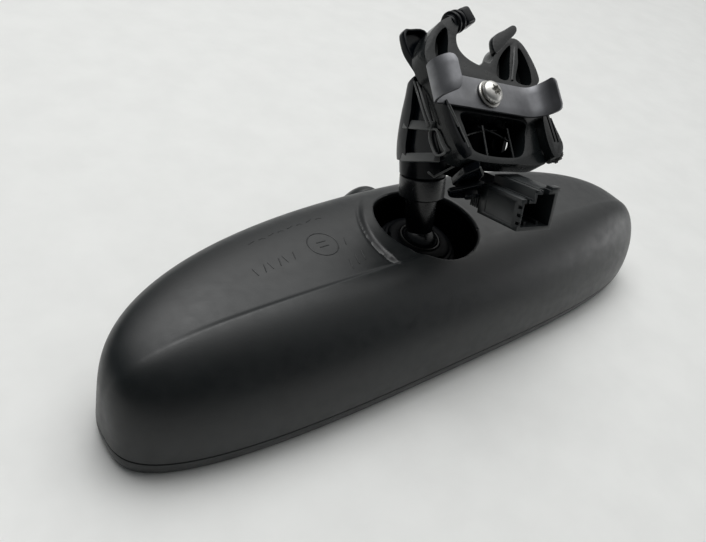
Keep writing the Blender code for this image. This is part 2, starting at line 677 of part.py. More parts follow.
def make_latch(mount):
    """The strut beside the left column, and the hook on the right one."""
    line = [(-20.6, -6.6), (-20.2, -9.5), (-18.4, -15.0), (-15.6, -21.5)]
    low = BRACKET_Z[1] + GAP
    bar = prism(ribbon(curve_through(line, 3), 2.4), low, 1.6)
    strut = place("latch_arm", bar, FINISH["foot"], mount, 40)
    hook = [(25.0, -19.0), (24.8, -9.5), (26.6, -8.4), (29.2, -11.0), (29.0, -16.0), (27.0, -19.6)]
    place("side_hook", prism(hook, low, 3.0), FINISH["foot"], mount, 40)
    return strut


def connector_profile(inset):
    """The connector's stepped outline in X and Z, moved inwards by an inset."""
    width, _, height = CONNECTOR_SIZE
    low, right = inset, width - inset
    ledge, raised = height - inset, RAISED_HEIGHT - inset
    step = LEDGE_WIDTH + inset
    return [(low, low), (right, low), (right, raised), (step, raised), (step, ledge), (low, ledge)]


def make_connector(plug):
    """An open-ended shell with its mouth at -Y, and the contact pins in its back wall."""
    width, length, height = CONNECTOR_SIZE
    block = front_prism(connector_profile(0), -length, 0)
    shell = place("connector_housing", block, FINISH["connector"], plug)
    inside = front_prism(connector_profile(CONNECTOR_WALL), -length - 1, -4)
    cut(shell, tool("connector_space", inside, plug))
    z = height / 2
    for i in range(PIN_COUNT):
        x = CONNECTOR_WALL + (width - 2 * CONNECTOR_WALL) * (i + 0.5) / PIN_COUNT
        seat = box((x - 0.7, x + 0.7), (-6, 1), (z - 0.7, z + 0.7))
        cut(shell, tool(f"pin_seat_{i}", seat, plug))
        pin = box((x - 0.4, x + 0.4), (-9.0, -0.5), (z - 0.4, z + 0.4))
        place(f"contact_pin_{i + 1}", pin, FINISH["contact"], plug)
    return shell


def build():
    head = empty("head_frame", (0, 0, 0), (0, 0, 0))
    joint = empty("ball_frame", BALL, (0, 0, 0))
    arm = empty("arm_frame", BALL, (ARM_TILT, 0, 0))
    mount = empty("mount_frame", MOUNT_ORIGIN, MOUNT_POSE)
    plug = empty("connector_frame", CONNECTOR_ORIGIN, CONNECTOR_POSE)
    make_rear_cover(head)
    make_bezel(head)
    make_glass(head)
    make_backing(head)
    make_cell_clips(head)
    make_electronics(head)
    make_pod(head)
    make_socket(head)
    make_liner(joint)
    make_stud(arm)
    make_sleeve(arm)
    make_carrier(mount, arm, plug)
    make_rear_shell(mount, arm)
    make_bracket(mount)
    make_strip(mount)
    make_spring_screw(mount)
    make_latch(mount)
    make_connector(plug)


clear_scene()
FINISH = {
    "housing": material("housing", PLASTIC, 0.5),
    "bezel": material("bezel", PLASTIC, 0.4),
    "glass": material("glass", (0.75, 0.8, 0.8), 0.03),
    "mirror": material("mirror", (0.7, 0.75, 0.78), 0.05, 1),
    "foam": material("foam", (0.1, 0.1, 0.1), 0.95),
    "plate": material("plate", (0.03, 0.03, 0.032), 0.6),
    "contact": material("contact", (0.55, 0.5, 0.4), 0.3, 1),
    "board": material("board", (0.03, 0.16, 0.07), 0.45),
    "steel": material("steel", (0.5, 0.5, 0.49), 0.35, 1),
    "connector": material("connector", (0.012, 0.013, 0.014), 0.45),
    "lens": material("lens", (0.2, 0.2, 0.22), 0.15),
    "switch": material("switch", (0.1, 0.1, 0.1), 0.5),
    "button": material("button", (0.03, 0.03, 0.032), 0.4),
    "seat": material("seat", (0.5, 0.5, 0.46), 0.4),
    "socket": material("socket", (0.01, 0.011, 0.012), 0.5),
    "liner": material("liner", (0.6, 0.58, 0.5), 0.35),
    "stud": material("stud", (0.012, 0.013, 0.014), 0.35),
    "foot": material("foot", (0.014, 0.015, 0.016), 0.45),
    "shell": material("shell", (0.02, 0.021, 0.023), 0.5),
    "bracket": material("bracket", (0.03, 0.031, 0.033), 0.35),
    "spring": material("spring", (0.32, 0.32, 0.31), 0.4, 1),
    "tool": material("tool", (1, 0, 0), 0.5),
}
build()
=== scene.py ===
import json
import math

import bmesh
import bpy
from mathutils import Euler, Matrix, Vector
from mathutils import noise as blender_noise


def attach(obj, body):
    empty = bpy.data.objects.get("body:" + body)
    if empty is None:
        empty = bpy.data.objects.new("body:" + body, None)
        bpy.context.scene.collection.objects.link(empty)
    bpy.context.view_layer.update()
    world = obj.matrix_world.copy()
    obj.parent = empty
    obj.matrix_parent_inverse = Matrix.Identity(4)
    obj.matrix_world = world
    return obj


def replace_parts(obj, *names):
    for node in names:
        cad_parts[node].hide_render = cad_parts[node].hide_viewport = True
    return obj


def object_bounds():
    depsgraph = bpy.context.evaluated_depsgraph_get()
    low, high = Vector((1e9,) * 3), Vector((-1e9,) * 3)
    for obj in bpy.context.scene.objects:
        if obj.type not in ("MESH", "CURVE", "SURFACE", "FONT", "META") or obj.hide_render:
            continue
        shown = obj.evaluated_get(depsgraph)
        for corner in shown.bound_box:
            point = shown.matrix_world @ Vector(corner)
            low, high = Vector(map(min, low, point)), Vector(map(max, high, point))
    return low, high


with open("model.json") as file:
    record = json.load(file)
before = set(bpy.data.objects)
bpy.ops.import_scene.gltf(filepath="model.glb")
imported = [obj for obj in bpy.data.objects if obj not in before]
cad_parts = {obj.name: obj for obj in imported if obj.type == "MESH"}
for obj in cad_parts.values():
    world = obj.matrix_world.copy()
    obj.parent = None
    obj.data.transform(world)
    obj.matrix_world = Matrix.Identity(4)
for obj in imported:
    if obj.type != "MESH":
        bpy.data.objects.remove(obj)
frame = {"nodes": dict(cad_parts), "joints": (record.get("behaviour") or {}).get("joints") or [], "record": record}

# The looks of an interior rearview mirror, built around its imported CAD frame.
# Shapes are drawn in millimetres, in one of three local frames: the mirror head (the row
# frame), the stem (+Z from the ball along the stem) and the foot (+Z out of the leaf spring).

cad_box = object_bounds()
MM = 0.001
GAP = 0.3

# ---- Sizes that repeat the CAD -------------------------------------------------------------

HALF_LENGTH = 125.0
RIDGE_Y = -11.4
NEAR_WIDTH, FAR_WIDTH = 25.6, 48.4
NEAR_PLAN, FAR_PLAN = 3.3, 2.05
NEAR_SECTION, FAR_SECTION = 1.8, 4.7
END_POWER = 5.1
RIM_Z = 5.9
COVER_HEIGHT = 33.3
WALL = 2.2
WELL_RADIUS = 20.0
WELL_FLOOR = (18.0, 20.0)
BALL_RADIUS = 7.0
SEAT_RADIUS = 10.6
SCREW_CIRCLE = 13.3
POD_CENTRE = (0.0, 34.0, 9.0)
POD_RADII = (13.0, 11.2, 23.0)

BALL = Vector(frame["joints"][0]["pos_m"]) / MM
STEM = Vector(next(j["axis"] for j in frame["joints"] if j["name"] == "roll"))
HEAD = Matrix.Identity(4)
ARM = Matrix.Translation(BALL) @ Vector((0, 0, 1)).rotation_difference(STEM).to_matrix().to_4x4()
FOOT_TURN = Euler([math.radians(turn) for turn in (32.0, 9.0, -9.2)])
FOOT = Matrix.Translation((6.8, 3.75, 89.6)) @ FOOT_TURN.to_matrix().to_4x4()


# ---- Materials -----------------------------------------------------------------------------


def nodes_of(name):
    made = bpy.data.materials.new(name)
    made.use_nodes = True
    return made, made.node_tree.nodes, made.node_tree.links, made.node_tree.nodes["Principled BSDF"]


def noise(nodes, links, where, scale, detail=3.0, roughness=0.55):
    made = nodes.new("ShaderNodeTexNoise")
    made.inputs["Scale"].default_value = scale
    made.inputs["Detail"].default_value = detail
    made.inputs["Roughness"].default_value = roughness
    links.new(where, made.inputs["Vector"])
    return made.outputs["Fac"]


def spread(nodes, links, value, low, high, span=(0.3, 0.7)):
    """A value between two limits, as another goes over its span."""
    made = nodes.new("ShaderNodeMapRange")
    made.inputs["From Min"].default_value = span[0]
    made.inputs["From Max"].default_value = span[1]
    made.inputs["To Min"].default_value = low
    made.inputs["To Max"].default_value = high
    links.new(value, made.inputs["Value"])
    return made.outputs["Result"]


def between(nodes, links, value, first, second, span=(0.35, 0.65)):
    """A colour between two, as a value goes over its span."""
    made = nodes.new("ShaderNodeValToRGB")
    made.color_ramp.elements[0].position = span[0]
    made.color_ramp.elements[0].color = (*first, 1)
    made.color_ramp.elements[1].position = span[1]
    made.color_ramp.elements[1].color = (*second, 1)
    links.new(value, made.inputs["Fac"])
    return made.outputs["Color"]


def plastic(name, colour, roughness, grain=0.5, grain_size=0.35, bump=0.02, shift=0.18, shine=0.5):
    """Moulded plastic: an eroded grain in the surface, with slow changes of shade and gloss.

    grain is the bump's strength, bump its height in millimetres and shine the strength of the reflection.
    """
    made, nodes, links, shader = nodes_of(name)
    where = nodes.new("ShaderNodeTexCoord").outputs["Object"]
    slow = noise(nodes, links, where, 45.0, 4.0)
    fine = noise(nodes, links, where, 1 / (grain_size * MM), 2.0)
    mottled = noise(nodes, links, where, 260.0, 3.0)
    light = tuple(c * (1 + shift) for c in colour)
    dark = tuple(c * (1 - shift) for c in colour)
    links.new(between(nodes, links, slow, dark, light), shader.inputs["Base Color"])
    links.new(spread(nodes, links, mottled, roughness - 0.05, roughness + 0.05), shader.inputs["Roughness"])
    ripple = nodes.new("ShaderNodeBump")
    ripple.inputs["Strength"].default_value = grain
    ripple.inputs["Distance"].default_value = bump * MM
    links.new(fine, ripple.inputs["Height"])
    links.new(ripple.outputs["Normal"], shader.inputs["Normal"])
    shader.inputs["Specular IOR Level"].default_value = shine
    return made


def brushed(name, colour, roughness, along=(1, 14, 14), tarnish=0.3, scale=220.0):
    """Bare sheet metal with a fine drawn grain and a few dull patches."""
    made, nodes, links, shader = nodes_of(name)
    where = nodes.new("ShaderNodeTexCoord").outputs["Object"]
    turn = nodes.new("ShaderNodeMapping")
    turn.inputs["Scale"].default_value = along
    links.new(where, turn.inputs["Vector"])
    grain = noise(nodes, links, turn.outputs["Vector"], scale, 3.0)
    patches = noise(nodes, links, where, 130.0, 5.0, 0.65)
    dull = tuple(c * (1 - tarnish) for c in colour)
    links.new(between(nodes, links, patches, dull, colour), shader.inputs["Base Color"])
    links.new(spread(nodes, links, patches, roughness + 0.12, roughness - 0.04), shader.inputs["Roughness"])
    ripple = nodes.new("ShaderNodeBump")
    ripple.inputs["Strength"].default_value = 0.35
    ripple.inputs["Distance"].default_value = 0.02 * MM
    links.new(grain, ripple.inputs["Height"])
    links.new(ripple.outputs["Normal"], shader.inputs["Normal"])
    shader.inputs["Metallic"].default_value = 1.0
    return made


def clear_glass(name):
    made, nodes, links, shader = nodes_of(name)
    where = nodes.new("ShaderNodeTexCoord").outputs["Object"]
    links.new(spread(nodes, links, noise(nodes, links, where, 60.0), 0.01, 0.04), shader.inputs["Roughness"])
    shader.inputs["Base Color"].default_value = (0.86, 0.9, 0.9, 1)
    shader.inputs["Transmission Weight"].default_value = 1.0
    shader.inputs["IOR"].default_value = 1.5
    return made


FINISH = {
    "housing": plastic("housing", (0.006, 0.0078, 0.0085), 0.40, grain=0.55, grain_size=0.5, bump=0.03),
    "bezel": plastic("bezel", (0.011, 0.013, 0.0135), 0.40, grain=0.4, grain_size=0.45),
    "glass": clear_glass("glass"),
    "mirror": brushed("mirror", (0.72, 0.76, 0.79), 0.04, along=(1, 1, 1), tarnish=0.04, scale=40.0),
    "foam": plastic("foam", (0.08, 0.08, 0.08), 0.95, grain=1.0, grain_size=0.8, bump=0.2),
    "plate": plastic("plate", (0.03, 0.03, 0.032), 0.6),
    "contact": brushed("contact", (0.6, 0.52, 0.36), 0.3, tarnish=0.2),
    "board": plastic("board", (0.02, 0.11, 0.05), 0.4, grain=0.3),
    "steel": brushed("steel", (0.62, 0.61, 0.58), 0.34, along=(1, 1, 1), tarnish=0.25, scale=500.0),
    "connector": plastic("connector", (0.010, 0.0125, 0.0135), 0.40, grain=0.4, shine=0.7),
    "lens": plastic("lens", (0.25, 0.25, 0.27), 0.12, grain=0.05),
    "switch": plastic("switch", (0.05, 0.05, 0.05), 0.5),
    "button": plastic("button", (0.022, 0.023, 0.025), 0.4),
    "seat": plastic("seat", (0.05, 0.05, 0.047), 0.4),
    # Near-black with almost no reflection: the ring and well cup are dark plastic, darkened further and with their
    # reflection taken away as painted shade for the shaded well.
    "socket": plastic("socket", (0.0015, 0.002, 0.003), 0.45, grain=0.3, shine=0.04),
    "liner": plastic("liner", (0.012, 0.0125, 0.012), 0.35, shine=0.25),
    "stud": plastic("stud", (0.004, 0.005, 0.006), 0.24, grain=0.5, grain_size=0.8, bump=0.03),
    "foot": plastic("foot", (0.002, 0.003, 0.0045), 0.22, grain=0.6, grain_size=0.7, bump=0.03, shine=0.15),
    "shell": plastic("shell", (0.003, 0.004, 0.0055), 0.34, grain=0.5, grain_size=0.5, bump=0.03, shine=0.12),
    "bracket": plastic("bracket", (0.006, 0.0075, 0.008), 0.24, grain=0.8, grain_size=1.1, bump=0.09,
                       shine=0.35),
    # A lighter grey for ribs, beads and edge lines on the near-black foot: painted highlight where these edges
    # catch the light.
    "band": plastic("band", (0.085, 0.088, 0.087), 0.34, grain=0.4, grain_size=0.6),
    "crumb": plastic("crumb", (0.02, 0.02, 0.02), 0.6, grain=1.0, grain_size=0.9, bump=0.25, shift=0.5),
    "screw": brushed("screw", (0.72, 0.71, 0.68), 0.38, along=(1, 1, 1), tarnish=0.25, scale=600.0),
    "spring": brushed("spring", (0.235, 0.238, 0.25), 0.42, along=(1, 14, 14), tarnish=0.2),
    "floor": plastic("floor", (0.80, 0.805, 0.79), 0.55, grain=0.3, grain_size=1.6, bump=0.04, shift=0.02),
}


# ---- Shapes --------------------------------------------------------------------------------


def place(name, shape, finish, body, pose=HEAD, smooth=30):
    """The piece of a bmesh in millimetres, in one of the local frames, riding on a body."""
    bmesh.ops.recalc_face_normals(shape, faces=shape.faces)
    bmesh.ops.transform(shape, matrix=Matrix.Scale(MM, 4) @ pose, verts=shape.verts)
    mesh = bpy.data.meshes.new(name)
    shape.to_mesh(mesh)
    shape.free()
    mesh.materials.append(FINISH[finish])
    if smooth:
        mesh.shade_smooth()
        mesh.set_sharp_from_angle(angle=math.radians(smooth))
    made = bpy.data.objects.new(name, mesh)
    bpy.context.scene.collection.objects.link(made)
    if body:
        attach(made, body)
    return made


def applied(piece):
    """The piece with its modifiers worked into its mesh."""
    bpy.context.view_layer.update()
    graph = bpy.context.evaluated_depsgraph_get()
    mesh = bpy.data.meshes.new_from_object(piece.evaluated_get(graph))
    piece.modifiers.clear()
    piece.data = mesh
    return piece


def combine(piece, shape, operation, pose=HEAD):
    """A Boolean with a solid, or with a shape in a local frame, that is then thrown away."""
    other = shape
    if isinstance(shape, bmesh.types.BMesh):
        other = place(piece.name + "_tool", shape, "foot", None, pose, smooth=0)
    step = piece.modifiers.new("combine", "BOOLEAN")
    step.operation = operation
    step.object = other
    applied(piece)
    bpy.data.objects.remove(other)
    return piece


def cut(piece, shape, pose=HEAD):
    return combine(piece, shape, "DIFFERENCE", pose)


def add(piece, shape, pose=HEAD):
    return combine(piece, shape, "UNION", pose)


def soften(piece, width, segments=3, angle=30, sharp=35):
    """Rounded edges, which catch the light as moulded edges do."""
    step = piece.modifiers.new("edges", "BEVEL")
    step.width = width * MM
    step.segments = segments
    step.limit_method = "ANGLE"
    step.angle_limit = math.radians(angle)
    step.harden_normals = False
    step.use_clamp_overlap = True
    step.miter_outer = "MITER_ARC"
    applied(piece)
    piece.data.shade_smooth()
    piece.data.set_sharp_from_angle(angle=math.radians(sharp))
    return piece


def prism(outline, low, high):
    """A closed outline in X and Y, extruded along Z."""
    shape = bmesh.new()
    base = shape.faces.new([shape.verts.new((x, y, low)) for x, y in outline])
    made = bmesh.ops.extrude_face_region(shape, geom=[base])
    top = [item for item in made["geom"] if isinstance(item, bmesh.types.BMVert)]
    bmesh.ops.translate(shape, vec=(0, 0, high - low), verts=top)
    return shape


def side_prism(outline, low, high):
    """A closed outline in Y and Z, extruded along X."""
    shape = prism(outline, low, high)
    turn = Matrix(((0, 0, 1), (1, 0, 0), (0, 1, 0)))
    bmesh.ops.transform(shape, matrix=turn.to_4x4(), verts=shape.verts)
    return shape


def box(x_span, y_span, z_span):
    corners = [(x_span[0], y_span[0]), (x_span[1], y_span[0]), (x_span[1], y_span[1]), (x_span[0], y_span[1])]
    return prism(corners, *z_span)


def lathe(profile, steps=72, centre=(0, 0, 0)):
    """A closed profile of (radius, height) points turned about a line along Z."""
    shape = bmesh.new()
    rings = []
    for radius, height in profile:
        if radius == 0:
            rings.append([shape.verts.new((centre[0], centre[1], centre[2] + height))] * steps)
            continue
        turns = [2 * math.pi * i / steps for i in range(steps)]
        rings.append([
            shape.verts.new((centre[0] + radius * math.cos(t), centre[1] + radius * math.sin(t),
                             centre[2] + height))
            for t in turns
        ])
    for first, second in zip(rings, rings[1:] + rings[:1]):
        for i in range(steps):
            unique = list(dict.fromkeys([first[i - 1], first[i], second[i], second[i - 1]]))
            if len(unique) > 2:
                shape.faces.new(unique)
    return shape


def rod(radius, low, high, steps=48, centre=(0, 0)):
    return lathe([(0, low), (radius, low), (radius, high), (0, high)], steps, (*centre, 0))


def arc(radius, start, end, steps, middle=(0, 0)):
    """Points of a circular arc, from one angle in degrees to another."""
    turns = [math.radians(start + (end - start) * i / steps) for i in range(steps + 1)]
    return [(middle[0] + radius * math.cos(t), middle[1] + radius * math.sin(t)) for t in turns]


def curve_through(points, steps, closed=False):
    """A smooth Catmull-Rom line through points of any dimension."""
    points = [Vector(p) for p in points]
    count = len(points)
    made = []
    for i in range(count if closed else count - 1):
        if closed:
            a, b, c, d = (points[(i + k) % count] for k in (-1, 0, 1, 2))
        else:
            a, b, c, d = (points[min(max(i + k, 0), count - 1)] for k in (-1, 0, 1, 2))
        for step in range(steps):
            t = step / steps
            made.append(
                0.5 * (2 * b + (c - a) * t + (2 * a - 5 * b + 4 * c - d) * t**2 + (3 * b - a - 3 * c + d) * t**3)
            )
    if not closed:
        made.append(points[-1])
    return [tuple(p) for p in made]


def spaced(points, count):
    """Points evenly spaced along a line in space."""
    points = [Vector(p) for p in points]
    run = [0.0]
    for first, second in zip(points, points[1:]):
        run.append(run[-1] + (second - first).length)
    made = []
    k = 0
    for i in range(count + 1):
        target = run[-1] * i / count
        while k < len(run) - 2 and run[k + 1] < target:
            k += 1
        share = (target - run[k]) / max(run[k + 1] - run[k], 1e-9)
        made.append(points[k].lerp(points[k + 1], min(max(share, 0.0), 1.0)))
    return made


def smoothstep(low, high, value):
    t = min(max((value - low) / (high - low), 0.0), 1.0)
    return t * t * (3 - 2 * t)


# ---- Housing -------------------------------------------------------------------------------


def fall(ratio, power):
    return max(0.0, 1 - abs(ratio) ** power) ** (1 / power)


def bent(value, power):
    return math.copysign(abs(value) ** (2 / power), value)


def crease(x, y):
    """A low step along the ridge, highest left of the well, and a faint fold right of it."""
    across = y - (RIDGE_Y - 0.9)
    height = 0.75 * smoothstep(-112, -70, x) * (1 - smoothstep(-24, -6, x))
    step = -height * smoothstep(0.0, 2.0, across) * (1 - smoothstep(6, 34, across))
    edge = 0.22 * math.exp(-abs(across) / 2.2) * (1 - smoothstep(100, 122, abs(x)))
    return step + edge


LIP_CENTRE = (5.0, -2.0)
LIP_RADIUS = 31.6


def lip(x, y):
    """The raised land on the well's left side, with a groove along its foot."""
    dx, dy = x - LIP_CENTRE[0], y - LIP_CENTRE[1]
    radius = math.hypot(dx, dy)
    turn = math.degrees(math.atan2(dy, -dx))
    share = (1 - smoothstep(35, 62, turn)) * smoothstep(-22, -12, turn)
    land = 0.85 * (1 - smoothstep(LIP_RADIUS - 1.6, LIP_RADIUS - 0.1, radius))
    groove = -0.45 * math.exp(-((radius - LIP_RADIUS - 0.35) / 0.55) ** 2)
    return share * (land + groove)


def mouth(x, y):
    """How far the surface rolls down into the well."""
    radius = math.hypot(x - BALL.x, y - BALL.y)
    roll = 1.1
    reach = min(max((WELL_RADIUS + roll - radius) / roll, 0.0), 1.0)
    return -roll * (1 - math.sqrt(1 - reach * reach))


def cover_height(x, y):
    """The housing's outer surface over a point in X and Y."""
    near = y < RIDGE_Y
    width = (NEAR_WIDTH if near else FAR_WIDTH) * fall(x / HALF_LENGTH, NEAR_PLAN if near else FAR_PLAN)
    ratio = min(abs(y - RIDGE_Y) / max(width, 1e-6), 1.0)
    rise = fall(ratio, NEAR_SECTION if near else FAR_SECTION)
    detail = crease(x, y) + lip(x, y) + mouth(x, y)
    height = COVER_HEIGHT * fall(x / HALF_LENGTH, END_POWER) * rise
    return RIM_Z + height + detail * smoothstep(0.3, 0.8, rise)


def arch(x, inset, height, steps):
    """Evenly spaced points over the ridge at one place along X, from rim to rim."""
    length = HALF_LENGTH - inset
    lift = height * fall(x / length, END_POWER)
    near = (NEAR_WIDTH - inset) * fall(x / length, NEAR_PLAN)
    far = (FAR_WIDTH - inset) * fall(x / length, FAR_PLAN)
    dense = []
    for i in range(241):
        turn = math.pi * i / 240
        power = NEAR_SECTION if i <= 120 else FAR_SECTION
        across, up = bent(math.cos(turn), power), bent(math.sin(turn), power)
        dense.append((x, RIDGE_Y - (near if i <= 120 else far) * across, lift * abs(up)))
    return spaced(dense, steps)


def dome(inset, height, low, stations, steps):
    """The closed form of the housing, with straight sides from the rim down to low."""
    shape = bmesh.new()
    length = HALF_LENGTH - inset
    rows = []
    for i in range(1, stations):
        share = 2 * i / stations - 1
        x = length * math.copysign(1 - (1 - abs(share)) ** 1.5, share)
        rows.append([shape.verts.new((p.x, p.y, RIM_Z + p.z)) for p in arch(x, inset, height, steps)])
    tips = [shape.verts.new((end * length, RIDGE_Y, RIM_Z)) for end in (-1, 1)]
    for first, second in zip(rows, rows[1:]):
        for i in range(steps):
            shape.faces.new((first[i], first[i + 1], second[i + 1], second[i]))
    for tip, row in zip(tips, (rows[0], rows[-1])):
        for i in range(steps):
            shape.faces.new((row[i], row[i + 1], tip))
    rim = [row[0] for row in rows] + [tips[1]] + [row[-1] for row in rows[::-1]] + [tips[0]]
    foot = [shape.verts.new((v.co.x * 0.998, RIDGE_Y + (v.co.y - RIDGE_Y) * 0.993, low)) for v in rim]
    for i in range(len(rim)):
        shape.faces.new((rim[i - 1], rim[i], foot[i], foot[i - 1]))
    shape.faces.new(foot)
    return shape


def refine(shape, chosen, cuts=1):
    edges = [e for e in shape.edges if all(chosen(v.co) for v in e.verts)]
    bmesh.ops.subdivide_edges(shape, edges=edges, cuts=cuts, use_grid_fill=True)


def near_well(reach):
    def chosen(co):
        radius = math.hypot(co.x - BALL.x, co.y - BALL.y)
        return co.z > RIM_Z + 12 and WELL_RADIUS - 2.5 < radius < WELL_RADIUS + reach
    return chosen


def make_housing():
    shape = dome(0, COVER_HEIGHT, RIM_Z - 0.25, 300, 120)
    refine(shape, lambda co: abs(co.y - RIDGE_Y) < 4 and co.z > RIM_Z + 8 and abs(co.x) < 118)
    refine(shape, near_well(14))
    refine(shape, near_well(2.2))
    for vert in shape.verts:
        if vert.co.z > RIM_Z + 1:
            vert.co.z = cover_height(vert.co.x, vert.co.y)
    cover = place("housing_cover", shape, "housing", "mirror_head")
    cut(cover, dome(WALL, COVER_HEIGHT - WALL, RIM_Z - 3, 60, 40))
    x, y, _ = BALL
    cup = [(SEAT_RADIUS + 0.4, WELL_FLOOR[0]), (WELL_RADIUS + 2, WELL_FLOOR[0]), (WELL_RADIUS + 2, 35.0)]
    cup += [(WELL_RADIUS - 0.1, 35.0), (WELL_RADIUS - 0.1, WELL_FLOOR[1]), (SEAT_RADIUS + 0.4, WELL_FLOOR[1])]
    cut(cover, rod(WELL_RADIUS, WELL_FLOOR[1], 60, 160, (x, y)))
    well = lathe(cup, 120, (x, y, 0))
    place("well_cup", well, "socket", "mirror_head")
    notch = bmesh.new()
    bmesh.ops.create_uvsphere(notch, u_segments=48, v_segments=32, radius=1)
    bmesh.ops.scale(notch, vec=[r + GAP for r in POD_RADII], verts=notch.verts)
    bmesh.ops.translate(notch, vec=POD_CENTRE, verts=notch.verts)
    cut(cover, notch)
    cover.data.shade_smooth()
    cover.data.set_sharp_from_angle(angle=math.radians(35))
    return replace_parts(cover, "rear_cover")


def outline_at(inset, steps=60):
    """The housing's outline in X and Y, moved inwards by an inset."""
    outline = []
    for start, width, power in ((0, FAR_WIDTH, FAR_PLAN), (math.pi, NEAR_WIDTH, NEAR_PLAN)):
        for i in range(2 * steps):
            turn = start + math.pi * i / (2 * steps)
            outline.append(Vector((HALF_LENGTH * bent(math.cos(turn), power),
                                   RIDGE_Y + width * bent(math.sin(turn), power))))
    moved = []
    for i, point in enumerate(outline):
        ahead = outline[(i + 1) % len(outline)] - outline[i - 1]
        moved.append(tuple(point + inset * Vector((-ahead.y, ahead.x)).normalized()))
    return moved


def make_bezel():
    levels = [
        (2.2, -1.0), (1.7, -0.9), (1.35, -0.6), (0.75, 0.8), (0.35, 2.2), (0.1, 3.6), (0.02, 4.6),
        (0.1, 5.0), (0.45, 5.1), (0.75, RIM_Z - 0.5), (0.75, RIM_Z - GAP), (3.6, RIM_Z - GAP),
        (3.6, RIM_Z + 2.6), (4.6, RIM_Z + 2.6),
        (4.6, RIM_Z - 1.4), (3.2, RIM_Z - 1.4), (3.2, -GAP), (4.6, -GAP), (4.6, -0.65), (4.2, -0.95),
        (3.7, -1.0),
    ]
    shape = bmesh.new()
    loops = [[shape.verts.new((x, y, z)) for x, y in outline_at(inset)] for inset, z in levels]
    for first, second in zip(loops, loops[1:] + loops[:1]):
        for i in range(len(first)):
            shape.faces.new((first[i - 1], first[i], second[i], second[i - 1]))
    bezel = place("front_bezel", shape, "bezel", "mirror_head")
    notch = bmesh.new()
    bmesh.ops.create_uvsphere(notch, u_segments=48, v_segments=32, radius=1)
    bmesh.ops.scale(notch, vec=[r + GAP for r in POD_RADII], verts=notch.verts)
    bmesh.ops.translate(notch, vec=POD_CENTRE, verts=notch.verts)
    cut(bezel, notch)
    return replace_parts(bezel, "bezel")


def make_pod():
    """The bulge of the control pod, with its button and light facing the driver."""
    shape = bmesh.new()
    bmesh.ops.create_uvsphere(shape, u_segments=96, v_segments=64, radius=1)
    bmesh.ops.scale(shape, vec=POD_RADII, verts=shape.verts)
    bmesh.ops.translate(shape, vec=POD_CENTRE, verts=shape.verts)
    pod = place("pod", shape, "housing", "mirror_head")
    cut(pod, box((-40, 40), (0, 80), (-40, -0.8)))
    cut(pod, dome(-GAP, COVER_HEIGHT + GAP, -6, 120, 60))
    cut(pod, rod(3.9, -4, 9, 48, (0, 39.2)))
    cut(pod, rod(1.0, -4, 6, 24, (6.6, 38.6)))
    pod.data.set_sharp_from_angle(angle=math.radians(35))
    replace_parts(pod, "control_pod")
    front = arc(0.5, 0, -90, 4, (3.1, -0.15)) + [(2.2, -0.7), (1.6, -0.62), (0, -0.55)]
    button = lathe([(0, 3.4), (1.1, 3.4), (1.1, 2.9), (3.6, 2.9)] + front, 64, (0, 39.2, 0))
    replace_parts(place("pod_button", button, "button", "button"), "push_button")


def bead(name, points, radius, closed=False):
    """A raised line moulded on the housing."""
    line = [(x, y, cover_height(x, y) - radius * 0.35) for x, y in points]
    return wire(name, line, radius, "housing", "mirror_head", HEAD, 1, closed)


def make_marks():
    """Plain moulded marks where the housing carries its approval marks, without any lettering."""
    turns = [math.pi * i / 24 for i in range(48)]
    ring = [(-44.1 + 5.4 * math.cos(t), 6.1 + 5.4 * math.sin(t)) for t in turns]
    bead("mark_ring", ring, 0.24, closed=True)
    for i, lift in enumerate((-1.1, 1.1)):
        bead(f"mark_inner_{i + 1}", [(-45.9, 6.1 + lift), (-44.1, 6.1 + lift), (-42.3, 6.1 + lift)], 0.24)
    for i in range(6):
        x, y = -72.0 + 3.0 * i, 2.4 + 0.45 * i
        lean = 0.9 if i % 2 else -0.5
        bead(f"mark_tick_{i + 1}", [(x, y - 1.6), (x + lean * 0.5, y), (x + lean, y + 1.6)], 0.22)
    for i in range(8):
        x = -66.0 + 4.1 * i
        y = 15.4 + 3.6 * math.sin((x + 66) / 30 * 1.4)
        bead(f"mark_dash_{i + 1}", [(x - 1.2, y - 0.4), (x, y), (x + 1.2, y + 0.5 * (-1) ** i)], 0.2)
    for i in range(3):
        x, y = -41.0 + 3.4 * i, -5.4 + 1.1 * i
        bead(f"mark_bar_{i + 1}", [(x, y - 2.0), (x + 0.6, y), (x + 1.2, y + 2.0)], 0.26)
    bead("mark_stroke", [(-36.2, 3.2), (-35.6, 4.8), (-35.0, 6.4)], 0.22)


# ---- Ball joint ----------------------------------------------------------------------------


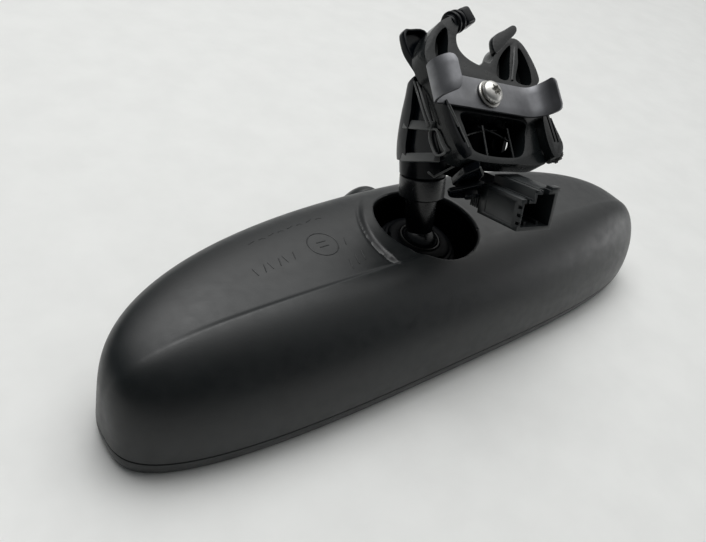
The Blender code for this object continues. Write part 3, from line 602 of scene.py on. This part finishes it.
def make_joint():
    waist, bore, neck = 5.0, 2.4, 5.9
    low = -math.degrees(math.acos(bore / BALL_RADIUS))
    high = math.degrees(math.acos(waist / BALL_RADIUS))
    profile = arc(BALL_RADIUS, low, high, 28)
    profile += [(waist, 6.0), (waist + 0.1, 8.0), (neck - 0.4, 11.5), (neck, 16.6), (neck, 35), (bore, 35)]
    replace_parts(place("stud", lathe(profile, 96), "stud", "stud", ARM), "ball_stud")
    outside = arc(0.7, -90, 0, 4, (7.7, 18.7)) + [(8.4, 25.6)] + arc(0.4, 0, 90, 3, (8.0, 25.8))
    profile = [(6.1, 18.3), (6.5, 18.0)] + outside + [(6.9, 26.2), (6.9, 36), (6.1, 36)]
    sleeve = place("sleeve", lathe(profile, 96), "stud", "foot", ARM)
    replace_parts(sleeve, "stem_sleeve")
    inside = BALL_RADIUS + GAP
    profile = arc(inside + 0.8, -52, 17, 14)
    profile += arc(0.4, 17, 197, 5, (7.7 * math.cos(0.3), 7.7 * math.sin(0.3)))
    profile += arc(inside, 16, -52, 14)
    liner = place("liner", lathe(profile, 96), "liner", "liner", Matrix.Translation(BALL))
    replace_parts(liner, "ball_liner")
    inner = inside + 0.8 + GAP
    floor = WELL_FLOOR[1] + GAP - BALL.z
    steps = [(10.9, floor), (16, floor), (16, -4.5)] + arc(0.5, 0, 90, 3, (15.5, -4.5))
    steps += [(14.8, -4), (14.8, -1.4)]
    steps += arc(0.4, 0, 90, 3, (14.4, -1.4)) + [(13.4, -1), (13.4, 0.4)] + arc(0.5, 0, 90, 3, (12.9, 0.4))
    steps += [(12.2, 1.0), (11.8, 1.9), (11.2, 2.3), (9.8, 2.55), (9.0, 2.5)] + arc(inner, 15, 4, 8)
    ring = place("ring", lathe(steps + [(10.9, GAP)], 120), "socket", "mirror_head", Matrix.Translation(BALL))
    for i in range(3):
        turn = math.radians(30 + 120 * i)
        x, y = BALL.x + SCREW_CIRCLE * math.cos(turn), BALL.y + SCREW_CIRCLE * math.sin(turn)
        cut(ring, rod(1.5, 19, 29.2, 32, (x, y)))
        cut(ring, rod(1.9, 27.6, 40, 32, (x, y)))
    ring.data.set_sharp_from_angle(angle=math.radians(32))
    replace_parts(ring, "retaining_ring")


# ---- Foot ----------------------------------------------------------------------------------

SHELL_LEVELS = [
    (-25.0, 24.0, 29.0), (-12.0, 24.3, 29.2), (-5.0, 24.3, 26.8), (2.0, 24.0, 21.5), (8.0, 23.5, 15.5),
    (16.0, 22.6, 9.0), (24.5, 21.6, 6.0),
]


def shell_form(grow, front, steps=44):
    """The rounded wedge behind the mount plane."""
    shape = bmesh.new()
    rings = []
    for height, half_width, depth in curve_through(SHELL_LEVELS, 4):
        turns = [math.pi * i / steps for i in range(steps + 1)]
        wide, deep = half_width + grow, depth + grow
        back = [(3.5 + wide * bent(math.cos(t), 3), -8.2 - deep * bent(math.sin(t), 3)) for t in turns]
        ends = [(back[-1][0], front), (back[0][0], front)]
        rings.append([shape.verts.new((x, height, z)) for x, z in back + ends])
    for first, second in zip(rings, rings[1:]):
        for i in range(len(first)):
            shape.faces.new((first[i - 1], first[i], second[i], second[i - 1]))
    shape.faces.new(rings[0])
    shape.faces.new(rings[-1][::-1])
    return shape


def beyond(corners):
    return side_prism(corners, -40, 50)


def below_underside(lift):
    """Everything below the foot's sloping underside, or below a plane above it."""
    return beyond([(-70, 20), (-70, -70), (-23 + 0.421 * 70 + lift, -70), (-23 - 0.421 * 20 + lift, 20)])


def above(height):
    return beyond([(height, 20), (height, -70), (70, -70), (70, 20)])


def front_prism(outline, low, high):
    """A closed outline in X and Z, extruded along Y."""
    shape = prism(outline, low, high)
    turn = Matrix(((1, 0, 0), (0, 0, 1), (0, 1, 0)))
    bmesh.ops.transform(shape, matrix=turn.to_4x4(), verts=shape.verts)
    return shape


def make_foot_body():
    body = place("foot_body", shell_form(-1.9, -7.9), "foot", "foot", FOOT)
    space = place("space", shell_form(-3.9, 1.1), "foot", None, FOOT)
    cut(space, below_underside(2.0), FOOT)
    combine(body, space, "DIFFERENCE")
    cut(body, below_underside(GAP), FOOT)
    cut(body, above(14), FOOT)
    collar = [(0, 26.5), (8.3, 26.5), (8.6, 26.9), (8.8, 30.0), (9.0, 34.0), (0, 34.0)]
    add(body, lathe(collar, 72), ARM)
    add(body, box((2.0, 12.5), (GAP, 24.0), (6.8, 10.0)), PLUG)
    cut(body, beyond([(-23.5, 20), (-23.5, -7.9), (40, -7.9), (40, 20)]), FOOT)
    cut(body, rod(7.5, 20, 42, 72), ARM)
    cut(body, side_prism(arc(3.2, 0, 352, 44, (-6.5, -18.0)), 19, 32), FOOT)
    body.data.set_sharp_from_angle(angle=math.radians(28))
    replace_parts(body, "foot_carrier")
    tab = curve_through(
        [(-22.3, 17.5), (-19.6, 12.4), (-17.5, 9.5), (-11.5, 9.5), (-11.5, 25.9), (-19.6, 26.0),
         (-21.7, 25.2), (-22.6, 22.8)], 5, closed=True)
    scoop = place("side_tab", prism(tab, -11.0, -8.1), "foot", "foot", FOOT)
    inner = [(-16.4 + (x + 16.4) * 0.85, 18.6 + (y - 18.6) * 0.88) for x, y in tab]
    cut(scoop, prism(inner, -10.2, -7), FOOT)
    soften(scoop, 0.4)


def make_shell():
    shell = place("shell", shell_form(0, -8.2), "shell", "foot", FOOT)
    cut(shell, above(10), FOOT)
    cut(shell, below_underside(0), FOOT)
    cut(shell, beyond([(-34, 6), (-34, -31), (-10, -21), (0, -14.5), (10, -10.5), (14, 6)]), FOOT)
    cut(shell, shell_form(-1.6, -0.2), FOOT)
    cut(shell, rod(9.3, 18, 36, 72), ARM)
    shell.data.set_sharp_from_angle(angle=math.radians(28))
    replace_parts(shell, "rear_shell")


def bar_on_side(start, end, width, high, low=0.0, face=-18.9):
    """A wedge-shaped rib on the left side, from one (Y, Z) point to another."""
    start, end = Vector(start), Vector(end)
    along = (end - start).normalized()
    across = Vector((-along.y, along.x)) * width / 2
    if across.x < 0:
        across = -across
    shape = bmesh.new()
    rings = []
    for point in (start, end):
        corners = [(1.5, -across), (-high, -across), (-low - 0.25, across), (1.5, across)]
        rings.append([shape.verts.new((face + x, *(point + side))) for x, side in corners])
    for i in range(4):
        shape.faces.new((rings[0][i - 1], rings[0][i], rings[1][i], rings[1][i - 1]))
    shape.faces.new(rings[0])
    shape.faces.new(rings[1][::-1])
    return shape


def wire(name, points, radius, finish, body, pose, steps=4, closed=False):
    """A round bar or bead along a smooth line."""
    line = [Vector(p) for p in curve_through(points, steps, closed)]
    shape = bmesh.new()
    rings = []
    for i, point in enumerate(line):
        if closed:
            ahead = line[(i + 1) % len(line)] - line[i - 1]
        else:
            ahead = line[min(i + 1, len(line) - 1)] - line[max(i - 1, 0)]
        turn = Vector((0, 0, 1)).rotation_difference(ahead).to_matrix()
        ring = [turn @ Vector((radius * math.cos(t), radius * math.sin(t), 0)) for t in
                (math.pi * k / 5 for k in range(10))]
        rings.append([shape.verts.new(point + r) for r in ring])
    pairs = list(zip(rings, rings[1:])) + ([(rings[-1], rings[0])] if closed else [])
    for first, second in pairs:
        offset = min(range(10), key=lambda k: (first[0].co - second[k].co).length)
        for i in range(10):
            a, b = (i - 1) % 10, i
            shape.faces.new((first[a], first[b], second[(b + offset) % 10], second[(a + offset) % 10]))
    if not closed:
        shape.faces.new(rings[0])
        shape.faces.new(rings[-1][::-1])
    return place(name, shape, finish, body, pose)


def make_side_details():
    """Ribs, a moulded loop and the latch on the foot's left side; the ribs, loop, beads and latch edges are a
    lighter grey than the foot, a painted highlight where they catch the light.
    """
    ribs = (((-2.4, -20.0), (-9.2, -7.4)), ((-12.4, -24.4), (-19.0, -9.2)))
    for i, (start, end) in enumerate(ribs):
        shape = bar_on_side(start, end, 2.9, 1.5, 0.4)
        rib = place(f"side_rib_{i + 1}", shape, "band", "foot", FOOT)
        soften(rib, 0.3)
    frame_line = [(-20.9, -10.2, -9.1), (-20.9, -10.6, -6.8), (-20.9, -12.1, -5.8), (-20.9, -16.1, -5.2),
                  (-20.9, -19.3, -4.6), (-20.9, -18.6, -8.6), (-20.9, -13.7, -9.9)]
    wire("side_loop", [(-19.6, y, z) for _, y, z in frame_line], 0.4, "band", "foot", FOOT, 5, closed=True)
    for i, shift in enumerate((0.0, 2.6)):
        line = [(-20.4 - 0.1 * i, 8.0 - 0.4 * shift, -10.4 + shift * 0.6), (-20.6, -4.0, -9.2 + shift * 0.6),
                (-20.4, -9.0, -8.6 + shift * 0.7)]
        wire(f"side_bead_{i + 1}", line, 0.35, "band", "foot", FOOT)
    outline = [(-20.9, -6.4), (-20.2, -4.8), (-19.4, -9.5), (-17.6, -15.0), (-14.8, -21.5), (-16.6, -22.4),
               (-19.6, -15.5)]
    strut = place("latch", prism(curve_through(outline, 4, closed=True), -0.9, 1.6), "foot", "foot", FOOT)
    slit = [(-19.9, -7.4), (-19.4, -9.6), (-17.6, -15.4), (-16.4, -18.6), (-17.2, -18.8), (-19.3, -13.0)]
    cut(strut, prism(slit, 0.9, 4), FOOT)
    soften(strut, 0.35)
    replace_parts(strut, "latch_arm")
    for i, (start, end) in enumerate((((-20.6, -6.8), (-18.2, -13.6)), ((-19.7, -6.3), (-15.6, -20.2)))):
        wire(f"latch_edge_{i + 1}", [(*start, 1.5), (*end, 1.5)], 0.3, "band", "foot", FOOT)


BRACKET_OUTLINE = [
    (-14.5, -22.5), (-17.8, -20.0), (-18.8, -14.0), (-18.8, -5.0), (-19.4, 3.0), (-21.5, 6.5),
    (-22.6, 12.0), (-19.4, 18.6), (-13.4, 24.9), (-8.6, 28.0), (-5.2, 29.4), (-3.4, 27.6), (-4.6, 24.4),
    (-6.4, 20.8), (-6.4, 17.2), (-3.6, 14.2), (2.0, 12.4), (4.6, 14.2), (7.2, 14.0), (10.4, 17.2),
    (14.0, 22.0), (19.0, 25.2), (24.0, 26.8), (27.8, 25.0), (30.4, 20.5), (32.0, 15.5), (32.0, 11.5),
    (29.4, 8.4), (28.0, 3.0), (26.4, -8.0), (26.0, -16.0), (23.0, -21.5), (10.0, -22.6), (-2.0, -23.2),
]
BRACKET_OPENING = [
    (-12.0, -6.6), (-12.4, -12.0), (-11.4, -17.0), (-9.6, -19.9), (-2.0, -20.9), (8.0, -20.5), (12.6, -18.9),
    (14.9, -15.5), (16.6, -11.0), (17.4, -6.6), (2.0, -6.2),
]
POCKETS = [
    [(-17.6, 12.0), (-16.4, 18.0), (-12.9, 22.4), (-9.9, 24.0), (-10.4, 19.4), (-12.0, 14.5), (-12.4, 10.0)],
    [(9.6, 9.6), (12.0, 15.6), (16.6, 20.6), (20.6, 23.2), (18.4, 17.2), (15.0, 9.2)],
    [(19.0, 9.2), (22.4, 16.6), (24.6, 23.0), (27.0, 20.4), (28.2, 14.0), (26.2, 8.8)],
]


def make_bracket():
    low, high = -7.6, -1.2
    outline = curve_through(BRACKET_OUTLINE, 4, closed=True)
    bracket = place("clip_bracket", prism(outline, low, high), "bracket", "foot", FOOT)
    cut(bracket, prism(curve_through(BRACKET_OPENING, 4, closed=True), low - 1, high + 1), FOOT)
    for pocket in POCKETS:
        cut(bracket, prism(curve_through(pocket, 5, closed=True), low + 1.2, high + 1), FOOT)
    soften(bracket, 0.55, 3, 40)
    add(bracket, lathe([(0, -3), (5.0, -3), (5.0, -0.6), (4.7, -GAP), (0, -GAP)], 64), FOOT)
    cut(bracket, rod(2.3, low - 1, 1, 32), FOOT)
    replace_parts(bracket, "mount_bracket")
    axis = Matrix.Translation((-6.0, 27.6, -3.9)) @ Matrix.Rotation(math.radians(26), 4, "Z")
    axis = axis @ Matrix.Rotation(math.radians(90), 4, "Y")
    profile = [(0, 0), (3.0, 0), (3.0, 1.6), (3.9, 1.8), (4.05, 2.4), (3.9, 3.1), (3.2, 3.4), (3.1, 4.2),
               (3.8, 4.5), (3.95, 5.1), (3.8, 5.8), (3.1, 6.1), (3.0, 6.6)]
    shape = lathe(profile + [(3.4, 6.9), (0, 6.9)], 48)
    stud = place("claw_stud", shape, "foot", "foot", FOOT @ axis)
    soften(stud, 0.15)
    shape = box((-3.1, 3.1), (-3.2, 3.2), (6.3, 12.2))
    tip = place("claw_tip", shape, "foot", "foot", FOOT @ axis)
    soften(tip, 1.3, 4)
    plate = curve_through(
        [(10.6, 18.4), (11.0, 23.0), (13.5, 25.9), (19.0, 28.9), (24.2, 31.8), (25.9, 31.0), (24.6, 28.6),
         (18.4, 23.6), (13.6, 19.6)], 4, closed=True)
    blade = place("claw_plate", prism(plate, -2.6, -0.5), "bracket", "foot", FOOT)
    soften(blade, 0.6)
    fin = [(17.0, 9.2, -1.4), (19.6, 15.4, -1.2), (21.8, 20.4, -1.3), (23.4, 24.0, -1.8)]
    wire("claw_fin", fin, 0.55, "bracket", "foot", FOOT)
    for i, (start, end) in enumerate((((-1.4, -9.0), (-2.4, -20.8)), ((10.6, -8.8), (10.2, -20.6)))):
        wire(f"window_rod_{i + 1}", [(*start, -3.4), (*end, -3.4)], 0.42, "bracket", "foot", FOOT)
    lines = (
        [(-8.0, -12.0, -7.0), (0.0, -9.5, -6.5), (9.0, -8.0, -6.8)],
        [(-2.0, -8.5, -5), (6.0, -10.4, -5), (11.5, -12.5, -5)],
    )
    for i, line in enumerate(lines):
        wire(f"window_wire_{i + 1}", line, 0.35, "bracket", "foot", FOOT)


def rough(piece, height, scale):
    """A surface broken up by noise, as flashing or old foam leaves it."""
    for vert in piece.data.vertices:
        at = vert.co / MM
        vert.co += vert.normal * height * MM * blender_noise.noise(at / scale)


def make_hook():
    outline = [(24.0, -4.8), (27.6, -4.6), (29.0, -8.8), (30.2, -12.4), (30.7, -15.6), (28.6, -18.9),
               (24.4, -20.4), (22.8, -14.0)]
    hook = place("hook", prism(curve_through(outline, 4, closed=True), -0.9, 2.4), "bracket", "foot", FOOT)
    for x in (25.4, 27.2):
        cut(hook, prism([(x, -3), (x + 0.7, -3), (x + 1.6, -14.5), (x + 0.8, -14.8)], 1.3, 4), FOOT)
    soften(hook, 0.4)
    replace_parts(hook, "side_hook")
    lump = bmesh.new()
    bmesh.ops.create_icosphere(lump, subdivisions=5, radius=1)
    bmesh.ops.scale(lump, vec=(4.4, 3.4, 3.2), verts=lump.verts)
    bmesh.ops.translate(lump, vec=(28.0, -17.0, -1.2), verts=lump.verts)
    crumb = place("hook_pad", lump, "crumb", "foot", FOOT, smooth=60)
    rough(crumb, 1.3, 1.3)
    rough(crumb, 0.5, 0.5)


def make_strip():
    left = [(-22.2, 11.0), (-24.6, 8.6), (-26.0, 5.2), (-25.6, 2.0), (-23.6, 0.45)]
    right = [(17.5, 0.45), (20.8, 1.1), (23.2, 3.2), (24.6, 6.4), (25.0, 10.0)]
    line = curve_through(left + [(-18.0, 0.45), (0.0, 0.45), (12.0, 0.45)] + right, 9)
    rows = spaced([(x, 0, z) for x, z in line], 150)
    shape = bmesh.new()
    rings = []
    for i, point in enumerate(rows):
        from_end = min(i, len(rows) - 1 - i) * 0.47
        flare = 1 + 0.11 * smoothstep(21.0, 26.0, abs(point.x))
        corner = 2.2 if i < 75 else 1.8
        half = 5.5 * flare
        if from_end < corner:
            half -= corner - math.sqrt(max(corner**2 - (corner - from_end) ** 2, 0))
        ahead = rows[min(i + 1, len(rows) - 1)] - rows[max(i - 1, 0)]
        normal = Vector((-ahead.z, 0, ahead.x)).normalized() * 0.45
        sides = [(-half, 1), (-half * 0.5, 1), (0, 1), (half * 0.5, 1), (half, 1)]
        sides += [(y, -1) for y, _ in sides[::-1]]
        rings.append([shape.verts.new(point + Vector((0, y, 0)) + side * normal) for y, side in sides])
    for first, second in zip(rings, rings[1:]):
        for i in range(len(first)):
            shape.faces.new((first[i - 1], first[i], second[i], second[i - 1]))
    shape.faces.new(rings[0])
    shape.faces.new(rings[-1][::-1])
    strip = place("spring_strip", shape, "spring", "foot", FOOT, 40)
    cut(strip, rod(2.3, -2, 3, 48), FOOT)
    soften(strip, 0.14, 2, 60, 50)
    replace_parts(strip, "leaf_spring")


def make_screw():
    low = 0.9 + GAP
    profile = [(2.3, low), (4.5, low), (4.7, low + 0.2), (4.7, low + 0.6), (4.5, low + 0.8), (2.3, low + 0.8)]
    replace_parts(place("washer", lathe(profile, 72), "steel", "foot", FOOT), "screw_washer")
    base = low + 0.8 + GAP
    rise = [math.radians(9 * i) for i in range(10)]
    profile = [(0, -6.5), (1.9, -6.5), (1.9, base), (3.8, base), (4.0, base + 0.25)]
    profile += [(4.0 * math.cos(t), base + 0.7 + 1.9 * math.sin(t)) for t in rise] + [(0, base + 2.6)]
    screw = place("clamp_screw", lathe(profile, 72), "screw", "foot", FOOT)
    turns = [2 * math.pi * i / 72 for i in range(72)]
    star = [(1.75 + 0.34 * math.cos(6 * t)) for t in turns]
    recess = [(r * math.cos(t), r * math.sin(t)) for r, t in zip(star, turns)]
    cut(screw, prism(recess, base + 1.0, base + 5), FOOT)
    screw.data.set_sharp_from_angle(angle=math.radians(35))
    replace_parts(screw, "spring_screw")


def make_underside():
    """Webs and tabs between the foot's underside and the stem; the edge and line wires are a lighter grey, a
    painted highlight along lit edges.
    """
    wedge = [(-11.4, 0.6), (-5.2, -4.4), (-1.2, -12.4), (-3.0, -16.4), (-10.2, -13.6), (-13.0, -5.0)]
    flap = place("under_tab", front_prism(wedge, -26.2, -23.6), "foot", "foot", FOOT)
    hollow = [(-7.4 + (x + 7.4) * 0.66, -8 + (z + 8) * 0.7) for x, z in wedge]
    cut(flap, front_prism(hollow, -30, -25.7), FOOT)
    soften(flap, 0.45)
    for i, (start, end) in enumerate(zip(wedge[:3], wedge[1:4])):
        line = [(start[0], -26.0, start[1]), (end[0], -26.0, end[1])]
        wire(f"under_edge_{i + 1}", line, 0.3, "band", "foot", FOOT)
    for i, (start, end) in enumerate((((-28.0, -9.0), (-13.8, -17.4)), ((-13.8, -17.4), (-13.0, -5.8)))):
        (x1, z1), (x2, z2) = start, end
        line = [(max(x1, -19.0), -22.0, z1 - 0.59 * max(-19.0 - x1, 0)), (x2, -22.0, z2)]
        wire(f"under_line_{i + 1}", line, 0.35, "band", "foot", FOOT)
    blade = [(-12.0, -14.0), (-9.0, -10.4), (-4.6, -6.4), (-2.6, -7.4), (2.6, -14.6), (1.0, -17.6),
             (-7.0, -18.4)]
    shape = front_prism(curve_through(blade, 5, closed=True), -28.6, -27.2)
    arm = place("under_arm", shape, "foot", "foot", FOOT)
    soften(arm, 0.4)
    place("under_post", rod(2.6, 0, 8, 32, (0, 0)), "foot", "foot",
          FOOT @ Matrix.Translation((-4.0, -22.6, -12.0)) @ Matrix.Rotation(math.radians(90), 4, "X"))
    for i, (start, end) in enumerate((((-16.0, -22.0), (-9.0, -3.4)), ((-17.6, -8.0), (-2.0, -6.0)),
                                      ((-17.2, -9.5), (-12.5, -22.0)))):
        (x1, z1), (x2, z2) = start, end
        y1, y2 = -23.3 - 0.421 * z1, -23.3 - 0.421 * z2
        wire(f"under_rib_{i + 1}", [(x1, y1, z1), (x2, y2, z2)], 0.6, "foot", "foot", FOOT)


PLUG_TURN = Euler([math.radians(turn) for turn in (-20.5, 1.9, -12.1)])
PLUG = Matrix.Translation((-0.5, -16.0, 58.1)) @ PLUG_TURN.to_matrix().to_4x4()


def make_connector():
    length = 19.7

    def profile(inset):
        right, step = 14.5 - inset, 4.6 + inset
        ledge, raised = 10.3 - inset, 13.1 - inset
        return [(inset, inset), (right, inset), (right, raised), (step, raised), (step, ledge), (inset, ledge)]

    shell = place("plug_shell", front_prism(profile(0), -length, 0), "connector", "foot", PLUG)
    add(shell, box((11.6, 14.9), (-length - 0.1, -16.8), (12.6, 14.0)), PLUG)
    cut(shell, box((4.75, 5.5), (-length - 1, -1.0), (12.2, 15)), PLUG)
    cut(shell, box((6.9, 7.5), (-length - 1, -3.0), (12.7, 15)), PLUG)
    cut(shell, box((3.3, 4.0), (-length - 1, -1.0), (9.7, 10.9)), PLUG)
    cut(shell, box((-1, 0.25), (-16.8, -3.4), (1.4, 8.8)), PLUG)
    soften(shell, 0.28, 2)
    cut(shell, front_prism(profile(1.3), -length - 1, -4), PLUG)
    for z in (2.0, 4.6, 7.2):
        cut(shell, box((-1, 0.9), (-length - 1, -length + 1.1), (z, z + 1.1)), PLUG)
    cut(shell, box((2.0, 3.0), (-length - 1, -length + 1.6), (8, 12)), PLUG)
    cut(shell, box((8.0, 10.6), (-length - 1, -length + 2.4), (11, 15)), PLUG)
    for i in range(6):
        x = 1.3 + 11.9 * (i + 0.5) / 6
        cut(shell, box((x - 0.7, x + 0.7), (-6, 1), (4.45, 5.85)), PLUG)
    for x in (4.2, 9.4):
        add(shell, box((x, x + 0.9), (-length + 1.8, -4.2), (1.2, 2.4)), PLUG)
    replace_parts(shell, "connector_housing")
    neck = place("plug_neck", box((0.6, 12.8), (0.0, 5.2), (1.0, 9.4)), "connector", "foot", PLUG)
    for i in range(4):
        cut(neck, box((-1, 1.4), (0.8 + 1.1 * i, 1.3 + 1.1 * i), (0, 12)), PLUG)
    soften(neck, 0.25, 2)


# ---- Stage ---------------------------------------------------------------------------------


def make_camera():
    """A phone-like view from above the near left corner, with the camera rolled a little."""
    yaw, pitch, roll = (math.radians(turn) for turn in (48.944, 39.108, 18.815))
    ahead = Vector((math.sin(yaw) * math.cos(pitch), math.cos(yaw) * math.cos(pitch), -math.sin(pitch)))
    level = Vector((math.cos(yaw), -math.sin(yaw), 0))
    above = level.cross(ahead)
    right = math.cos(roll) * level + math.sin(roll) * above
    up = math.cos(roll) * above - math.sin(roll) * level
    lens = bpy.data.cameras.new("camera")
    lens.sensor_width = 36.0
    lens.lens = 36.076
    lens.clip_start = 0.005
    camera = bpy.data.objects.new("camera", lens)
    turn = Matrix((right, up, -ahead)).transposed()
    camera.matrix_world = Matrix.Translation((-0.17577, -0.125008, 0.182605)) @ turn.to_4x4()
    bpy.context.scene.collection.objects.link(camera)
    bpy.context.scene.camera = camera


def make_floor():
    shape = bmesh.new()
    bmesh.ops.create_grid(shape, x_segments=2, y_segments=2, size=2500)
    bmesh.ops.translate(shape, vec=(0, 0, cad_box[0][2] / MM - 0.02), verts=shape.verts)
    place("floor", shape, "floor", None, smooth=0)


def make_world():
    """A bright room above and beyond the mirror, and a dark one on the near side."""
    world = bpy.data.worlds.new("room")
    world.use_nodes = True
    nodes, links = world.node_tree.nodes, world.node_tree.links
    direction = nodes.new("ShaderNodeTexCoord").outputs["Generated"]
    dot = nodes.new("ShaderNodeVectorMath")
    dot.operation = "DOT_PRODUCT"
    dot.inputs[1].default_value = Vector((0.42, 0.30, 0.86)).normalized()
    links.new(direction, dot.inputs[0])
    ramp = nodes.new("ShaderNodeValToRGB")
    stops = ((0.0, (0.10, 0.10, 0.10)), (0.5, (0.05, 0.055, 0.06)), (0.67, (0.08, 0.085, 0.09)),
             (0.79, (0.33, 0.335, 0.335)), (0.90, (0.6, 0.6, 0.595)), (0.95, (1.05, 1.05, 1.04)),
             (0.98, (2.1, 2.12, 2.1)), (1.0, (2.4, 2.42, 2.4)))
    while len(ramp.color_ramp.elements) < len(stops):
        ramp.color_ramp.elements.new(0.5)
    for element, (position, colour) in zip(ramp.color_ramp.elements, stops):
        element.position = position
        element.color = (*colour, 1)
    half = nodes.new("ShaderNodeMapRange")
    half.inputs["From Min"].default_value = -1.0
    links.new(dot.outputs["Value"], half.inputs["Value"])
    links.new(half.outputs["Result"], ramp.inputs["Fac"])
    background = nodes["Background"]
    links.new(ramp.outputs["Color"], background.inputs["Color"])
    background.inputs["Strength"].default_value = 1.0
    bpy.context.scene.world = world


def make_lights():
    """A panel overhead and beyond the mirror, and a dimmer one low on the right."""
    for name, size, energy, where in (("panel", (0.9, 0.6), 5.0, (-0.1, 0.45, 1.05)),
                                      ("side_panel", (0.7, 0.4), 2.0, (1.3, -0.5, 0.22))):
        panel = bpy.data.lights.new(name, "AREA")
        panel.shape = "RECTANGLE"
        panel.size, panel.size_y = size
        panel.energy = energy
        lamp = bpy.data.objects.new(name, panel)
        lamp.location = where
        lamp.rotation_euler = (Vector((0, 0, 0.03)) - lamp.location).to_track_quat("-Z", "Y").to_euler()
        bpy.context.scene.collection.objects.link(lamp)


# ---- Build ---------------------------------------------------------------------------------

make_camera()
make_floor()
make_world()
make_lights()
make_housing()
make_bezel()
make_pod()
make_marks()
make_joint()
make_foot_body()
make_shell()
make_side_details()
make_bracket()
make_hook()
make_strip()
make_screw()
make_underside()
make_connector()
for node in frame["nodes"].values():
    slot = next(part["material_slot"] for part in frame["record"]["subparts"] if part["node"] == node.name)
    for i in range(len(node.material_slots)):
        node.material_slots[i].material = FINISH[slot]
bpy.context.scene.view_settings.view_transform = "Standard"
